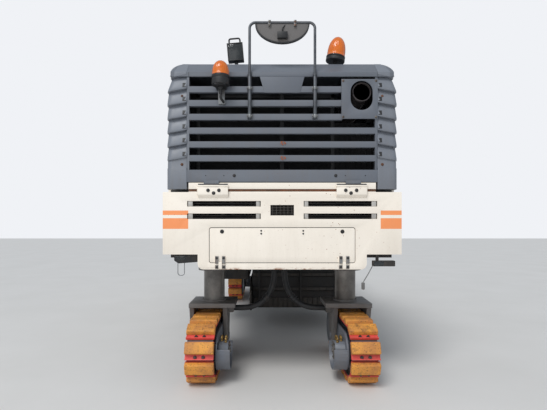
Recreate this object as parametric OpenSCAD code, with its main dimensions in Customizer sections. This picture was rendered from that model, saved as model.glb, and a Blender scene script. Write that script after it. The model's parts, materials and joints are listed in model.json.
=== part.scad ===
// Cold planer: a four-track road milling machine that loads over a front conveyor.
// Millimetres. +Z is up, +Y is forward to the discharge conveyor, +X is right seen from behind.
// The origin is on the ground, midway between the rearmost beacon and the conveyor's tip.

/* [Overall] */
// from the rear beacon to the tip of the discharge conveyor
overall_len = 14720; // [14000:10:16000]
// over the bumper and the side panels
body_w = 2500; // [2480:5:2600]
// how far the rear tracks reach behind the bumper
track_overhang = 120; // [0:5:160]
// how far the beacon on the grille reaches behind the bumper
rear_overhang = 190; // [170:5:220]
// height of the bumper's and the side panels' top edge
belt_line_z = 2153; // [2150:1:2200]
// height of the side panels' lower edge
sill_z = 1402; // [1390:1:1450]
// height of the underside of the frame's long beams
keel_z = 1350; // [1350:1:1400]
// height of the top of the frame's long beams
frame_top_z = 2100; // [2080:1:2100]
// radius of the four lashing eyes
lug_r = 60; // [54:1:62]
// radius of the bores in the lashing eyes
lug_bore = 30; // [25:1:32]
// thickness of the lashing eyes
lug_t = 30; // [25:1:40]
// running clearance between parts that turn or slide on each other
running_gap = 0.5; // [0.3:0.1:0.8]
// gap around doors, flaps and hoods
shut_gap = 7; // [6:1:12]
// thickness of the outer sheet panels
panel_t = 25; // [15:1:30]

/* [Legs] */
// distance between the front and rear columns
wheelbase = 5060; // [4900:10:5200]
// distance of a column's axis from the centre plane
column_x = 800; // [780:5:810]
// radius of the sliding column
column_r = 125; // [110:1:130]
// top of the column as the machine stands
column_top_z = 1735; // [1650:5:1735]
// wall of the steered sleeve
sleeve_wall = 40; // [30:1:45]
// underside of the steered sleeve
sleeve_z = 1170; // [1160:1:1190]
// height of the fixed guide tube around the sleeve
guide_h = 690; // [600:5:700]
// wall of the fixed guide tube
guide_wall = 25; // [20:1:30]
// distance from the column to the tie rod's pin
steer_arm = 330; // [300:5:350]
// radius of the tie rod's pins
tie_pin_r = 20; // [16:1:24]
// top of the fork's plate as the machine stands
fork_top_z = 795; // [780:1:800]
// thickness of the fork's plate
fork_plate_t = 52; // [45:1:55]
// length of the fork's plate along the machine
fork_len = 500; // [420:10:540]
// how far the fork's plate reaches inward from the column
fork_in = 270; // [260:5:280]
// how far the fork's plate reaches outward from the column
fork_out = 270; // [270:1:275]
// thickness of the fork's two cheeks
cheek_t = 52; // [45:1:52]
// radius of the fork cheeks' rounded lower ends
cheek_r = 105; // [90:1:120]
// radius of the pin that the track unit rocks on
rocker_pin_r = 45; // [35:1:50]
// radius of the bundle of hoses to a leg
hose_r = 34; // [28:1:36]
// inner face of the bracket that the hoses end at
hose_end_x = 560; // [550:1:575]
// height of that bracket's middle
hose_end_z = 700; // [695:1:705]

/* [Tracks] */
// length over the shoes
track_l = 1730; // [1700:5:1760]
// height over the shoes
track_h = 670; // [650:5:680]
// width of the shoes
track_w = 304; // [290:2:304]
// distance of the track's middle outward from the column
track_offset = 58; // [50:1:58]
// number of shoes on one track
shoe_count = 20; // [20:1:20]
// length of one pad along the track
pad_len = 128; // [110:2:140]
// thickness of the pads
pad_t = 55; // [45:1:60]
// thickness of the steel shoe plates
shoe_t = 15; // [12:1:18]
// thickness of the link band under the shoes
link_t = 40; // [36:1:44]
// width of the link band
link_w = 200; // [180:5:210]
// radius of the final drive's housing
motor_r = 110; // [90:1:120]
// thickness of the side guard on the inner side
guard_t = 22; // [16:1:22]
// radius of the shell around the final drive
motor_guard_r = 200; // [180:5:200]
// how far that shell reaches inward from the side guard
motor_guard_w = 134; // [110:2:140]

/* [Rear bumper] */
// depth of the bumper from front to back
bumper_d = 260; // [240:5:280]
// width of the deeper middle part
bumper_mid_w = 1770; // [1700:10:1800]
// lower edge of the middle part
bumper_low_z = 1245; // [1240:1:1300]
// radius of the lower inner corners
bumper_r = 60; // [30:5:80]
// top of the bumper's main face, below the hood's corners
bumper_top_z = 2055; // [2040:1:2070]
// width of the rear flap
flap_w = 1520; // [1400:10:1560]
// lower edge of the rear flap
flap_z = 1318; // [1310:1:1340]
// height of the rear flap
flap_h = 361; // [330:1:380]
// thickness of the rear flap
flap_t = 20; // [12:1:25]
// length of one air slot
slot_l = 770; // [700:10:800]
// height of one air slot
slot_h = 58; // [40:1:70]
// distance of a slot's inner end from the centre plane
slot_x = 225; // [200:5:240]

/* [Hood] */
// how far each side of the hood stands in from the side panels
hood_in = 40; // [30:5:60]
// length of the hood
hood_len = 3000; // [2900:10:3000]
// height of the hood's roof
hood_top_z = 3450; // [3440:5:3500]
// lower edge of the sloped band above the grille
band_z = 3265; // [3250:1:3280]
// top of the band's upright lip
band_lip_z = 3311; // [3300:1:3320]
// how far the sloped band leans forward
band_slope = 150; // [100:5:200]
// radius of the hood's upper outer corners
hood_bevel = 130; // [100:5:150]
// width of one ribbed corner
corner_w = 210; // [190:5:220]
// number of slats in the grille
slat_count = 6; // [6:1:6]
// pitch of the slats and of the corner ribs
slat_pitch = 144.4; // [140:0.2:150]
// height of one slat
slat_h = 63; // [50:1:70]
// height of the lowest slat's middle
slat_z = 2411; // [2400:1:2420]
// top of the panel below the slats
apron_z = 2288; // [2270:1:2300]
// lower edge of the lowest corner rib
rib_z = 2387; // [2370:1:2395]

/* [Hoop and lamps] */
// width of the hoop between the middles of its uprights
hoop_w = 680; // [640:5:720]
// height of the hoop's top tube
hoop_z = 3810; // [3750:5:3850]
// radius of the hoop's tube
hoop_r = 14; // [10:1:16]
// radius of the sockets that hold the hoop
socket_r = 19; // [18:1:21]
// width of the half-round plate in the hoop
bow_w = 565; // [500:5:600]
// height of the half-round plate
bow_h = 208; // [160:2:220]
// radius of a beacon's dome
beacon_r = 92; // [80:1:100]
// height of a beacon with its base
beacon_h = 255; // [240:5:270]

/* [Milling drum] */
// radius over the picks
drum_r = 510; // [490:5:510]
// radius of the drum's tube
drum_tube_r = 400; // [380:5:420]
// distance of the cut's right end from the machine's right side
drum_in = 90; // [80:5:100]
// cutting width
cut_w = 1500; // [1400:10:1500]
// height of the drum's axis as the machine stands
drum_z = 790; // [780:5:795]
// distance between picks along the drum
pick_pitch = 22; // [20:1:30]
// angle between one pick and the next
pick_turn = 27; // [20:1:34]
// height of the drum housing's lower edge
housing_z = 360; // [350:5:380]
// length of the drum housing
housing_l = 1300; // [1260:10:1320]
// thickness of the housing's plates
housing_t = 30; // [20:1:35]
// height of the lower edge of the oil tank beside the drum
oil_tank_z = 800; // [780:10:850]
// thickness of the side plates that ride beside the cut
edge_t = 30; // [24:1:32]
// length of the side plates
edge_l = 1900; // [1800:10:1950]
// height of the side plates' lower edge
edge_z = 310; // [300:5:340]

/* [Conveyors] */
// half width of both conveyors' frames
belt_frame_x = 345; // [335:5:350]
// slope of the primary conveyor
primary_slope = 22; // [21:0.5:23]
// height of the primary conveyor's middle at the housing
primary_z = 750; // [740:5:780]
// depth of the conveyors' side walls
belt_frame_h = 260; // [240:5:280]
// how far the swivel's axis is ahead of the bumper's face
swivel_ahead = 7050; // [7040:5:7060]
// height of the discharge conveyor's hinge
lift_z = 1520; // [1520:5:1540]
// slope of the discharge conveyor as the machine stands
discharge_slope = 20; // [18:0.5:22]
// how far the discharge conveyor reaches behind its hinge
tail_len = 350; // [300:10:360]
// height of the conveyors' side walls above their middle
skirt_h = 210; // [180:5:220]
// radius of the belt's end rollers
roller_r = 95; // [80:5:105]

/* [Deck] */
// length of the operators' platform
platform_l = 1900; // [1800:10:1920]
// height of the platform's railings
rail_h = 1000; // [900:10:1100]
// radius of the railings' tubes
rail_r = 20; // [15:1:25]
// height of the water tank
tank_h = 800; // [700:10:820]

/* [Hidden] */
$fn = 48;

// middle lines of the hose bundles on the right side, from the leg's place along the machine
rear_route = [[60, 90, 1270], [60, 90, 1210], [61, 90, 1150], [64, 89, 1090], [71, 87, 1030],
    [83, 83, 972], [102, 78, 915], [129, 70, 860], [166, 60, 811], [212, 49, 770],
    [265, 37, 738], [322, 25, 716], [381, 14, 704], [441, 5, 700], [501, 0, 700], [560, 0, 700]];
front_route = [[60, 450, 1050], [60, 450, 1020], [61, 440, 975], [65, 417, 932], [74, 382, 893],
    [89, 338, 857], [112, 288, 824], [144, 237, 794], [185, 188, 768], [234, 142, 745],
    [289, 101, 727], [348, 65, 713], [408, 34, 704], [466, 10, 700], [514, 0, 700], [560, 0, 700]];
// sides of a hose bundle's tube
hose_sides = 12;
// glands that the bundles come out of, beside the machine's middle
gland_x = 60;
gland_r = hose_r + 14;

// stations along the machine
y_face = -overall_len / 2 + rear_overhang;
y_rear = y_face - track_overhang + track_l / 2;
y_front = y_rear + wheelbase;
y_drum = (y_rear + y_front) / 2;
y_swivel = y_face + swivel_ahead;
y_tip = overall_len / 2;
y_nose = y_front + 740;
y_hood = y_face + hood_len;
y_deck = y_hood + 25;
y_tank = y_deck + platform_l;

// legs
LEGS = [["fl", -1, 1], ["fr", 1, 1], ["rl", -1, -1], ["rr", 1, -1]]; // name, side, end
sleeve_r = column_r + running_gap + sleeve_wall;
guide_r = sleeve_r + running_gap + guide_wall;
guide_z = 1245;
rocker_z = track_h / 2 + 25;
cheek_in = track_offset - track_w / 2 - guard_t - shut_gap;
cheek_out = track_offset + track_w / 2 + shut_gap;

// track loop
end_r = track_h / 2;
band_r = end_r - pad_t - shoe_t;
half_run = track_l / 2 - end_r;
loop_half = 2 * half_run + PI * band_r;
shoe_pitch = 2 * loop_half / shoe_count;

// drum housing
drum_right = body_w / 2 - drum_in;
drum_left = drum_right - cut_w;
housing_x0 = drum_left - housing_t - 20;
housing_x1 = drum_right + housing_t + 20;

// frame beams
beam_in = belt_frame_x + 40;
beam_out = beam_in + 140;

// hood
hood_w = body_w - 2 * hood_in;

// hood hinge
hinge_r = 10;
hinge_pin_r = 5;
hinge_y = y_face - hinge_r - 4;
hinge_z = belt_line_z - 20;
hood_z = belt_line_z + shut_gap;
corner_z = bumper_top_z + 32;
grille_x = hood_w / 2 - corner_w;
rail_x = grille_x - 20; // half width of the rail between the bumper's face and the grille

// exhaust, from the grille's side and the roof
exhaust_x = grille_x - 156;
exhaust_z = hood_top_z - 332;
exhaust_r = 98;
exhaust_wall = 8;
muffler_r = 140;
muffler_l = 1200;

// deck, ladders and lamps, in from the machine's sides
rail_post_x = body_w / 2 - 70;
ladder_x = body_w / 2 - 120;
console_x = body_w / 2 - 690;
lamp_x = body_w / 2 - 290;
rear_lamp_x = bumper_mid_w / 2 + 5;

// flap hinge
flap_hinge_r = 8;
flap_y = y_face - flap_hinge_r;
flap_hinge_z = flap_z - 3;

// conveyor
lift_y = y_swivel;
lift_x = belt_frame_x + 66;
lift_pin_r = 20;
rod_r = 25;
roller_track_r = 80;
scraper_pin_z = 1190;
scraper_pin_r = 30;
lift_foot = [y_swivel + 600, 1190];
lift_eye = [lift_y + 700 * cos(discharge_slope), lift_z + 700 * sin(discharge_slope)];
lift_l = norm(lift_eye - lift_foot);
discharge_len = (y_tip - lift_y - roller_r) / cos(discharge_slope);

STEEL = [0.30, 0.31, 0.33];
DARK = [0.12, 0.12, 0.13];
GREY_PAINT = [0.41, 0.43, 0.46];
CREAM = [0.93, 0.90, 0.85];
PAD = [0.85, 0.55, 0.15];
RED = [0.60, 0.12, 0.10];
RUBBER = [0.05, 0.05, 0.05];
AMBER = [0.95, 0.45, 0.05];

// Box between two opposite corners.
module block(low, high) {
    translate(low)
        cube(high - low);
}

// What is made on the right also on the left.
module both_sides() {
    children();
    mirror([1, 0, 0])
        children();
}

// A profile drawn in (Y, Z), made solid from x0 to x1.
module along_x(x0, x1) {
    translate([x0, 0, 0])
        rotate([90, 0, 90])
            linear_extrude(x1 - x0)
                children();
}

// A profile drawn in (X, Z), made solid from y0 to y1.
module along_y(y0, y1) {
    translate([0, y1, 0])
        rotate([90, 0, 0])
            linear_extrude(y1 - y0)
                children();
}

// Round bar between two points.
module bar(from, to, r) {
    d = to - from;
    translate(from)
        rotate([0, acos(d[2] / norm(d)), atan2(d[1], d[0])])
            cylinder(r = r, h = norm(d));
}

// Round bars through a list of points, with balls at the bends.
module bent_bar(points, r) {
    for (i = [0 : len(points) - 2])
        bar(points[i], points[i + 1], r);
    for (i = [1 : len(points) - 2])
        translate(points[i])
            sphere(r = r);
}

// Rectangle with round corners, from its lower left corner.
module round_rect(w, h, r) {
    translate([r, 0])
        square([w - 2 * r, h]);
    translate([0, r])
        square([w, h - 2 * r]);
    for (x = [r, w - r], y = [r, h - r])
        translate([x, y])
            circle(r = r);
}

// Puts a leg's parts, drawn for the front right column at the origin, on one column.
module at_leg(side, end) {
    translate([side * column_x, end > 0 ? y_front : y_rear, 0])
        scale([side, 1, 1])
            children();
}

// Turns a track unit end for end on the rear legs, where its drive is at the back.
module drive_end(end) {
    scale([1, end, 1])
        children();
}

module chassis_frame() {
    deck_x = body_w / 2 - panel_t;
    color(STEEL) {
        both_sides() {
            block([beam_in, y_face + bumper_d, keel_z], [beam_out, y_nose, frame_top_z]);
            for (y = [y_rear, y_front])
                translate([column_x, y, guide_z])
                    difference() {
                        union() {
                            cylinder(r = guide_r, h = guide_h);
                            for (w = [-110, 80])
                                translate([beam_out - column_x, w, 155])
                                    cube([deck_x - beam_out, 30, 500]);
                        }
                        translate([0, 0, -1])
                            cylinder(r = sleeve_r + running_gap, h = guide_h + 2);
                    }
            block([beam_in, y_face + bumper_d, keel_z], [deck_x, y_face + bumper_d + 30,
                frame_top_z]);
            block([beam_in, y_nose - 30, sill_z], [deck_x, y_nose, frame_top_z]);
            block([beam_in, y_nose - 340, 1080], [beam_out, y_nose, keel_z + 1]);
            block([beam_in, y_face + 60 + bumper_d, frame_top_z - 1], [deck_x, y_hood,
                frame_top_z + 30]);
            lug([beam_in + 55, y_face + bumper_d + 90, keel_z - 65], [0, 65]);
            lug([785, y_nose + 60, sill_z + 80], [-61, 0]);
        }
        block([-beam_in - 1, y_nose - 340, 1080], [beam_in + 1, y_nose, 1140]);
        block([-220, y_nose - 1, 1080], [220, y_swivel, 1140]);
        block([-deck_x, y_tank, frame_top_z - 1], [deck_x, y_nose, frame_top_z + 50]);
        translate([0, y_swivel, 1080])
            cylinder(r = 220, h = 60);
        translate([0, y_swivel, 1139])
            cylinder(r = 60, h = 111);
        block([-beam_in - 1, y_rear + 30, 1300], [beam_in + 1, y_rear + 150, keel_z + 30]);
        block([-beam_in - 1, y_front + 560, 1300], [beam_in + 1, y_front + 600, 1340]);
        for (x = [-gland_x, gland_x]) {
            translate([x, y_rear + 90, 1270])
                cylinder(r = gland_r, h = 31);
            translate([x, y_front + 450, 1050])
                cylinder(r = gland_r, h = 31);
        }
    }
}

// Lashing eye: a lug across X with its bore, and a root reaching back by (y, z).
module lug(place, root) {
    y0 = place[1] + (root[0] == 0 ? -lug_r : root[0]);
    y1 = place[1] + (root[0] == 0 ? lug_r : 0);
    z0 = place[2] + (root[1] == 0 ? -lug_r : 0);
    z1 = place[2] + (root[1] == 0 ? lug_r : root[1] + 1);
    along_x(place[0], place[0] + lug_t)
        difference() {
            union() {
                translate([place[1], place[2]])
                    circle(r = lug_r);
                translate([y0, z0])
                    square([y1 - y0, z1 - z0]);
            }
            translate([place[1], place[2]])
                circle(r = lug_bore);
        }
}

module side_panels() {
    color(CREAM)
        both_sides()
            difference() {
                block([body_w / 2 - panel_t, y_face + bumper_d, sill_z],
                    [body_w / 2, y_nose, belt_line_z]);
                for (y = [y_face + bumper_d + 900 : 900 : y_nose - 200])
                    block([body_w / 2 - 6, y, sill_z + 60],
                        [body_w / 2 + 1, y + 8, belt_line_z - 60]);
            }
}

module bumper_outline() {
    translate([-body_w / 2, sill_z])
        square([body_w, bumper_top_z - sill_z]);
    translate([-rail_x, sill_z])
        square([2 * rail_x, belt_line_z - sill_z]);
    translate([-bumper_mid_w / 2, bumper_low_z])
        round_rect(bumper_mid_w, bumper_top_z - bumper_low_z, bumper_r);
}

module rear_bumper() {
    face = y_face + panel_t;
    front = y_face + bumper_d;
    color(CREAM) {
        difference() {
            union() {
                along_y(y_face, front)
                    bumper_outline();
                both_sides()
                    block([590, y_face - 6, 2030], [890, y_face + 1, hinge_z - hinge_r - 2]);
            }
            block([-body_w / 2 + panel_t, face, sill_z + panel_t],
                [body_w / 2 - panel_t, front + 1, bumper_top_z - panel_t]);
            block([-bumper_mid_w / 2 + panel_t, face, bumper_low_z + panel_t],
                [bumper_mid_w / 2 - panel_t, front + 1, sill_z + panel_t + 1]);
            block([-rail_x + panel_t, face, bumper_top_z - panel_t - 1],
                [rail_x - panel_t, front + 1, belt_line_z - panel_t]);
            block([-rail_x - 1, y_face - 1, bumper_top_z + 5], [rail_x + 1, y_face + 8,
                bumper_top_z + 32]);
            both_sides()
                for (z = [1933, 1802])
                    block([slot_x, y_face - 1, z - slot_h / 2], [slot_x + slot_l, face + 1,
                        z + slot_h / 2]);
            block([-123, y_face - 1, 1810], [123, face + 1, 1920]);
            along_y(y_face - 1, face + 1)
                translate([-flap_w / 2 - shut_gap, flap_z - shut_gap])
                    round_rect(flap_w + 2 * shut_gap, flap_h + 2 * shut_gap, 25);
        }
        for (x = [-100 : 40 : 100])
            block([x - 3, y_face + 12, 1805], [x + 3, y_face + 18, 1925]);
        for (z = [1837, 1865, 1893])
            block([-126, y_face + 12, z - 3], [126, y_face + 18, z + 3]);
        both_sides()
            for (x = [600, 820])
                hinge_leaf([x, hinge_y, hinge_z], 60, hinge_r, hinge_pin_r, -35);
        both_sides()
            hinge_leaf([630, flap_y, flap_hinge_z], 35, flap_hinge_r, 4, -60);
    }
}

// One knuckle across X with its bore, and a leaf down (or up) onto the face ahead of it.
module hinge_leaf(place, w, r, pin, leaf) {
    difference() {
        union() {
            translate(place)
                rotate([0, 90, 0])
                    cylinder(r = r, h = w);
            translate([place[0], place[1] - r, place[2] + min(leaf, 0)])
                cube([w, y_face + 1 - place[1] + r, abs(leaf)]);
        }
        translate([place[0] - 1, place[1], place[2]])
            rotate([0, 90, 0])
                cylinder(r = pin + running_gap, h = w + 2);
    }
}

// A knuckle that carries its pin, with a leaf that reaches the face from the height foot upwards.
module pinned_leaf(place, w, r, pin, pin_l, leaf, foot) {
    translate(place)
        rotate([0, 90, 0])
            cylinder(r = r, h = w);
    translate([place[0] + (w - pin_l) / 2, place[1], place[2]])
        rotate([0, 90, 0])
            cylinder(r = pin, h = pin_l);
    translate([place[0], place[1] - r, place[2]])
        cube([w, y_face - running_gap - place[1] + r, leaf]);
    translate([place[0], place[1] - r, place[2] + foot])
        cube([w, y_face + 1 - place[1] + r, leaf - foot]);
}

module bumper_flap() {
    color(CREAM) {
        along_y(y_face, y_face + flap_t)
            translate([-flap_w / 2, flap_z])
                round_rect(flap_w, flap_h, 20);
        both_sides()
            for (x = [594, 667])
                pinned_leaf([x, flap_y, flap_hinge_z], 34, flap_hinge_r, 4, 36, 70,
                    flap_z - flap_hinge_z);
    }
}

module engine_block() {
    color(STEEL)
        block([-beam_in, y_face + 900, keel_z + 150], [beam_in, y_hood - 400, hood_top_z - 400]);
}

module radiator() {
    color(DARK)
        block([-grille_x + 50, y_face + 330, frame_top_z + 30], [exhaust_x - 244, y_face + 450,
            hood_top_z - 270]);
}

module exhaust() {
    color([0.35, 0.22, 0.16]) {
        difference() {
            translate([exhaust_x, y_face + 45, exhaust_z])
                rotate([-90, 0, 0])
                    cylinder(r = exhaust_r, h = 660);
            translate([exhaust_x, y_face + 44, exhaust_z])
                rotate([-90, 0, 0])
                    cylinder(r = exhaust_r - exhaust_wall, h = 560);
        }
        translate([exhaust_x, y_face + 700, exhaust_z])
            rotate([-90, 0, 0])
                cylinder(r = muffler_r, h = muffler_l);
        for (y = [y_face + 900, y_face + 1600])
            block([exhaust_x - 60, y, frame_top_z + 30], [exhaust_x + 60, y + 40,
                exhaust_z - muffler_r + 12]);
    }
}

module platform() {
    color(DARK)
        block([-body_w / 2 + panel_t, y_hood + 5, frame_top_z],
            [body_w / 2 - panel_t, y_tank, frame_top_z + 50]);
}

// Ladders from near the ground to the platform, ahead of the drum housing.
module ladders() {
    ly = y_drum + 1080;
    color(STEEL)
        both_sides() {
            for (y = [ly, ly + 420])
                block([ladder_x, y, 480], [ladder_x + 60, y + 30, frame_top_z]);
            for (z = [500 : 280 : frame_top_z - 100])
                block([ladder_x, ly + 29, z], [ladder_x + 60, ly + 421, z + 40]);
        }
}

module railings() {
    z0 = frame_top_z + 50;
    color(CREAM)
        both_sides() {
            for (y = [y_deck + 60, y_deck + 560, y_deck + 1060])
                bar([rail_post_x, y, z0], [rail_post_x, y, z0 + rail_h], rail_r);
            for (z = [z0 + rail_h / 2, z0 + rail_h])
                bar([rail_post_x, y_deck + 60 - rail_r, z], [rail_post_x, y_deck + 1060 + rail_r, z],
                    rail_r);
        }
}

module consoles() {
    z0 = frame_top_z + 50;
    color(DARK)
        both_sides()
            along_x(console_x, console_x + 540)
                polygon([[y_tank - 420, z0], [y_tank - 20, z0], [y_tank - 20, z0 + 1000],
                    [y_tank - 120, z0 + 1000], [y_tank - 470, z0 + 800], [y_tank - 470, z0 + 650]]);
}

// Lamps on the frame's front end.
module head_lamps() {
    color(DARK)
        both_sides()
            for (z = [sill_z + 200, sill_z + 400])
                block([lamp_x, y_nose, z], [lamp_x + 180, y_nose + 60, z + 140]);
}

module water_tank() {
    z0 = frame_top_z + 50;
    color(CREAM)
        along_x(-body_w / 2 + 50, body_w / 2 - 50)
            polygon([[y_tank + 10, z0], [y_nose + 160, z0], [y_nose + 160, z0 + 350],
                [y_nose - 240, z0 + tank_h], [y_tank + 10, z0 + tank_h]]);
}

// Tank that fills the frame's left side beside the drum housing.
module oil_tank() {
    color(DARK)
        block([-body_w / 2 + panel_t + 30, y_drum - 600, oil_tank_z],
            [housing_x0 - 60, y_drum + 600, keel_z]);
}

module drum_housing() {
    y0 = y_drum - housing_l / 2;
    y1 = y_drum + housing_l / 2;
    t = housing_t;
    color(STEEL) {
        block([housing_x0, y0, keel_z - t], [housing_x1, y1, keel_z]);
        difference() {
            block([housing_x0, y1 - t, housing_z], [housing_x1, y1, keel_z]);
            block([-belt_frame_x, y1 - t - 1, primary_z - 200],
                [belt_frame_x, y1 + 1, primary_z + 200]);
        }
        difference() {
            for (x = [housing_x0, housing_x1 - t])
                block([x, y0, housing_z], [x + t, y1, keel_z]);
            translate([housing_x0 - 1, y_drum, drum_z])
                rotate([0, 90, 0])
                    cylinder(r = 120 + running_gap, h = housing_x1 - housing_x0 + 2);
        }
        for (x = [housing_x0 - 8 + running_gap, housing_x1 - 1], y = [-510, 450])
            block([x, y_drum + y, housing_z + 20], [x + 9 - running_gap, y_drum + y + 60,
                keel_z - 50]);
        for (x = [housing_x0 + 150, housing_x1 - 350])
            block([x + 60, y0 - 55, scraper_pin_z + scraper_pin_r + running_gap], [x + 140, y0 + t,
                keel_z - 5]);
    }
}

// Height of the primary conveyor's middle line at a station.
function primary_at(y) = primary_z + (y - y_drum - housing_l / 2) * tan(primary_slope);

module primary_conveyor() {
    y0 = y_drum + housing_l / 2;
    y1 = y_swivel + 60;
    h = belt_frame_h / 2 / cos(primary_slope);
    color(STEEL)
        both_sides()
            along_x(belt_frame_x - 30, belt_frame_x)
                polygon([[y0, primary_at(y0) - h], [y1, primary_at(y1) - h],
                    [y1, primary_at(y1) + h], [y0, primary_at(y0) + h]]);
    color(RUBBER)
        along_x(-belt_frame_x + 29, belt_frame_x - 29)
            polygon([[y0, primary_at(y0) - 60], [y1, primary_at(y1) - 60],
                [y1, primary_at(y1) + 60], [y0, primary_at(y0) + 60]]);
    color(STEEL)
        both_sides()
            block([belt_frame_x - 1, y_front + 560, primary_at(y_front + 600) - 60],
                [beam_in, y_front + 600, primary_at(y_front + 600) + 60]);
}

// Rear outline of the hood's band and roof, with the round upper corners.
module hood_outline(inset) {
    w = hood_w / 2 - inset;
    top = hood_top_z - inset;
    r = hood_bevel - inset;
    translate([-w, hood_z])
        square([2 * w, top - r - hood_z]);
    translate([-w + r, hood_z])
        square([2 * (w - r), top - hood_z]);
    for (s = [-1, 1])
        translate([s * (w - r), top - r])
            circle(r = r);
}

module hood_shell() {
    x = hood_w / 2;
    inside = x - 60;
    color(GREY_PAINT)
        difference() {
            along_y(y_face, y_hood)
                hood_outline(0);
            translate([0, 0, -1])
                along_y(y_face + 140, y_hood - 40)
                    hood_outline(40);
            block([-x - 1, y_face - 1, hood_z - 1], [x + 1, y_face + 140.5, band_z]);
            along_x(-inside, inside)
                polygon([[y_face + panel_t, band_z - 1], [y_face + 141, band_z - 1],
                    [y_face + 141, hood_top_z - 43], [y_face + panel_t, band_lip_z - 11]]);
            along_x(-x - 1, x + 1)
                polygon([[y_face - 1, band_lip_z], [y_face, band_lip_z],
                    [y_face + band_slope, hood_top_z], [y_face + band_slope, hood_top_z + 9],
                    [y_face - 1, hood_top_z + 9]]);
            both_sides()
                for (y = [500, 1450], i = [0 : 7])
                    block([x - 50, y_face + y, 2400 + i * 90],
                        [x + 1, y_face + y + 700, 2445 + i * 90]);
        }
}

// One slat: a face with two flanges towards the front, between two stations across.
module slat(x0, x1) {
    h = slat_h / 2;
    along_x(x0, x1)
        polygon([[y_face + 8, -h], [y_face + 60, -h], [y_face + 60, 6 - h], [y_face + 14, 6 - h],
            [y_face + 14, h - 6], [y_face + 60, h - 6], [y_face + 60, h], [y_face + 8, h]]);
}

module grille() {
    x = grille_x;
    color(GREY_PAINT) {
        for (i = [0 : slat_count - 1])
            translate([0, 0, slat_z + i * slat_pitch])
                slat(-x + 24, i < slat_count / 2 ? x - 24 : exhaust_x - 214);
        block([-x, y_face, hood_z], [x, y_face + 30, apron_z]);
        both_sides()
            block([x - 25, y_face + 8, apron_z - 1], [x, y_face + 60, band_z]);
        block([-20, y_face + 60, hood_z], [20, y_face + 100, band_z]);
        block([-x, y_face + 29, hood_z], [x, y_face + 100, hood_z + 60]);
        along_y(y_face - 4, y_face + 9)
            difference() {
                translate([exhaust_x - 224, exhaust_z - 296])
                    square([x - 1 - exhaust_x + 224, 414]);
                translate([exhaust_x - 130, exhaust_z - 205])
                    round_rect(233, 306, 115);
            }
        both_sides()
            pinned_leaf([662, hinge_y, hinge_z], 156, hinge_r, hinge_pin_r, 278, 42,
                hood_z - hinge_z);
    }
}

module corner_ribs() {
    x0 = grille_x;
    x1 = hood_w / 2;
    r = 60;
    color(GREY_PAINT)
        both_sides()
            intersection() {
                union() {
                    block([x0, y_face + 50, corner_z], [x1, y_face + 140, band_z]);
                    block([x0, y_face + 12, corner_z], [x1, y_face + 51, rib_z + 1]);
                    for (i = [0 : slat_count - 1])
                        translate([0, 0, rib_z + i * slat_pitch])
                            along_x(x0, x1)
                                polygon([[y_face + 51, 0], [y_face, 0], [y_face, 20],
                                    [y_face + 40, slat_pitch], [y_face + 51, slat_pitch]]);
                }
                translate([0, 0, corner_z - 1])
                    linear_extrude(band_z - corner_z + 2) {
                        translate([x0 - 1, y_face - 1])
                            square([x1 - r - x0 + 1, 142]);
                        translate([x0 - 1, y_face + r])
                            square([x1 - x0 + 2, 141 - r]);
                        translate([x1 - r, y_face + r])
                            circle(r = r);
                    }
            }
}

module hoop() {
    x = hoop_w / 2;
    y = y_face - socket_r - 4;
    color(STEEL) {
        both_sides() {
            translate([x, y, 2815])
                cylinder(r = socket_r, h = 450);
            for (z = [slat_z + 3 * slat_pitch, slat_z + 5 * slat_pitch])
                block([x - 25, y, z - 20], [x + 25, y_face + 8, z + 20]);
            block([119, y - hoop_r - 6, hoop_z - 40], [147, y + hoop_r + 6, hoop_z + hoop_r + 6]);
        }
        bent_bar([[-x, y, 3264], [-x, y, hoop_z], [x, y, hoop_z], [x, y, 3264]], hoop_r);
        along_y(y - 4, y + 4)
            bow_outline(0);
        along_y(y - 18, y + 18)
            difference() {
                bow_outline(0);
                bow_outline(10);
            }
        block([-52, y - 40, 3640], [53, y - 3, 3708]);
    }
}

// Half-round plate under the hoop's top tube.
module bow_outline(inset) {
    top = hoop_z - hoop_r - 2;
    intersection() {
        translate([0, top])
            scale([(bow_w / 2 - inset) / 100, (bow_h - inset) / 100])
                circle(r = 100);
        translate([-bow_w / 2, top - bow_h])
            square([bow_w, bow_h - inset]);
    }
}

// Beacon on its base, standing at a point.
module beacon(r, h) {
    base_h = h * 0.37;
    color(DARK)
        cylinder(r = r, h = base_h);
    color(AMBER) {
        translate([0, 0, base_h])
            cylinder(r = r - 4, h = h - base_h - 40);
        translate([0, 0, h - 40])
            intersection() {
                scale([1, 1, 40 / (r - 4)])
                    sphere(r = r - 4);
                translate([-r, -r, 0])
                    cube(2 * r);
            }
    }
}

module beacons() {
    translate([-634, y_face - rear_overhang + beacon_r, 3135])
        beacon(beacon_r, beacon_h);
    color(STEEL) {
        block([-690, y_face - rear_overhang + 20, 3125], [-578, y_face + 8, 3135]);
        block([-665, y_face - 2, 2960], [-603, y_face + 8, 3126]);
    }
    translate([589, y_face + 280, hood_top_z]) {
        color(DARK)
            cylinder(r = 60, h = 14);
        rotate([0, 8, 0]) {
            color(DARK)
                translate([0, 0, 5])
                    cylinder(r = 22, h = 70);
            translate([0, 0, 74])
                beacon(beacon_r * 1.08, beacon_h * 1.1);
        }
    }
}

module work_lamp() {
    y = y_face + 240;
    color(DARK) {
        translate([-495, y + 45, hood_top_z])
            cylinder(r = 20, h = 81);
        block([-583, y, hood_top_z + 80], [-408, y + 90, hood_top_z + 277]);
        for (x = [-560, -439])
            block([x, y + 40, hood_top_z + 276], [x + 8, y + 52, hood_top_z + 344]);
        block([-560, y + 40, hood_top_z + 336], [-431, y + 52, hood_top_z + 344]);
    }
}

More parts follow.
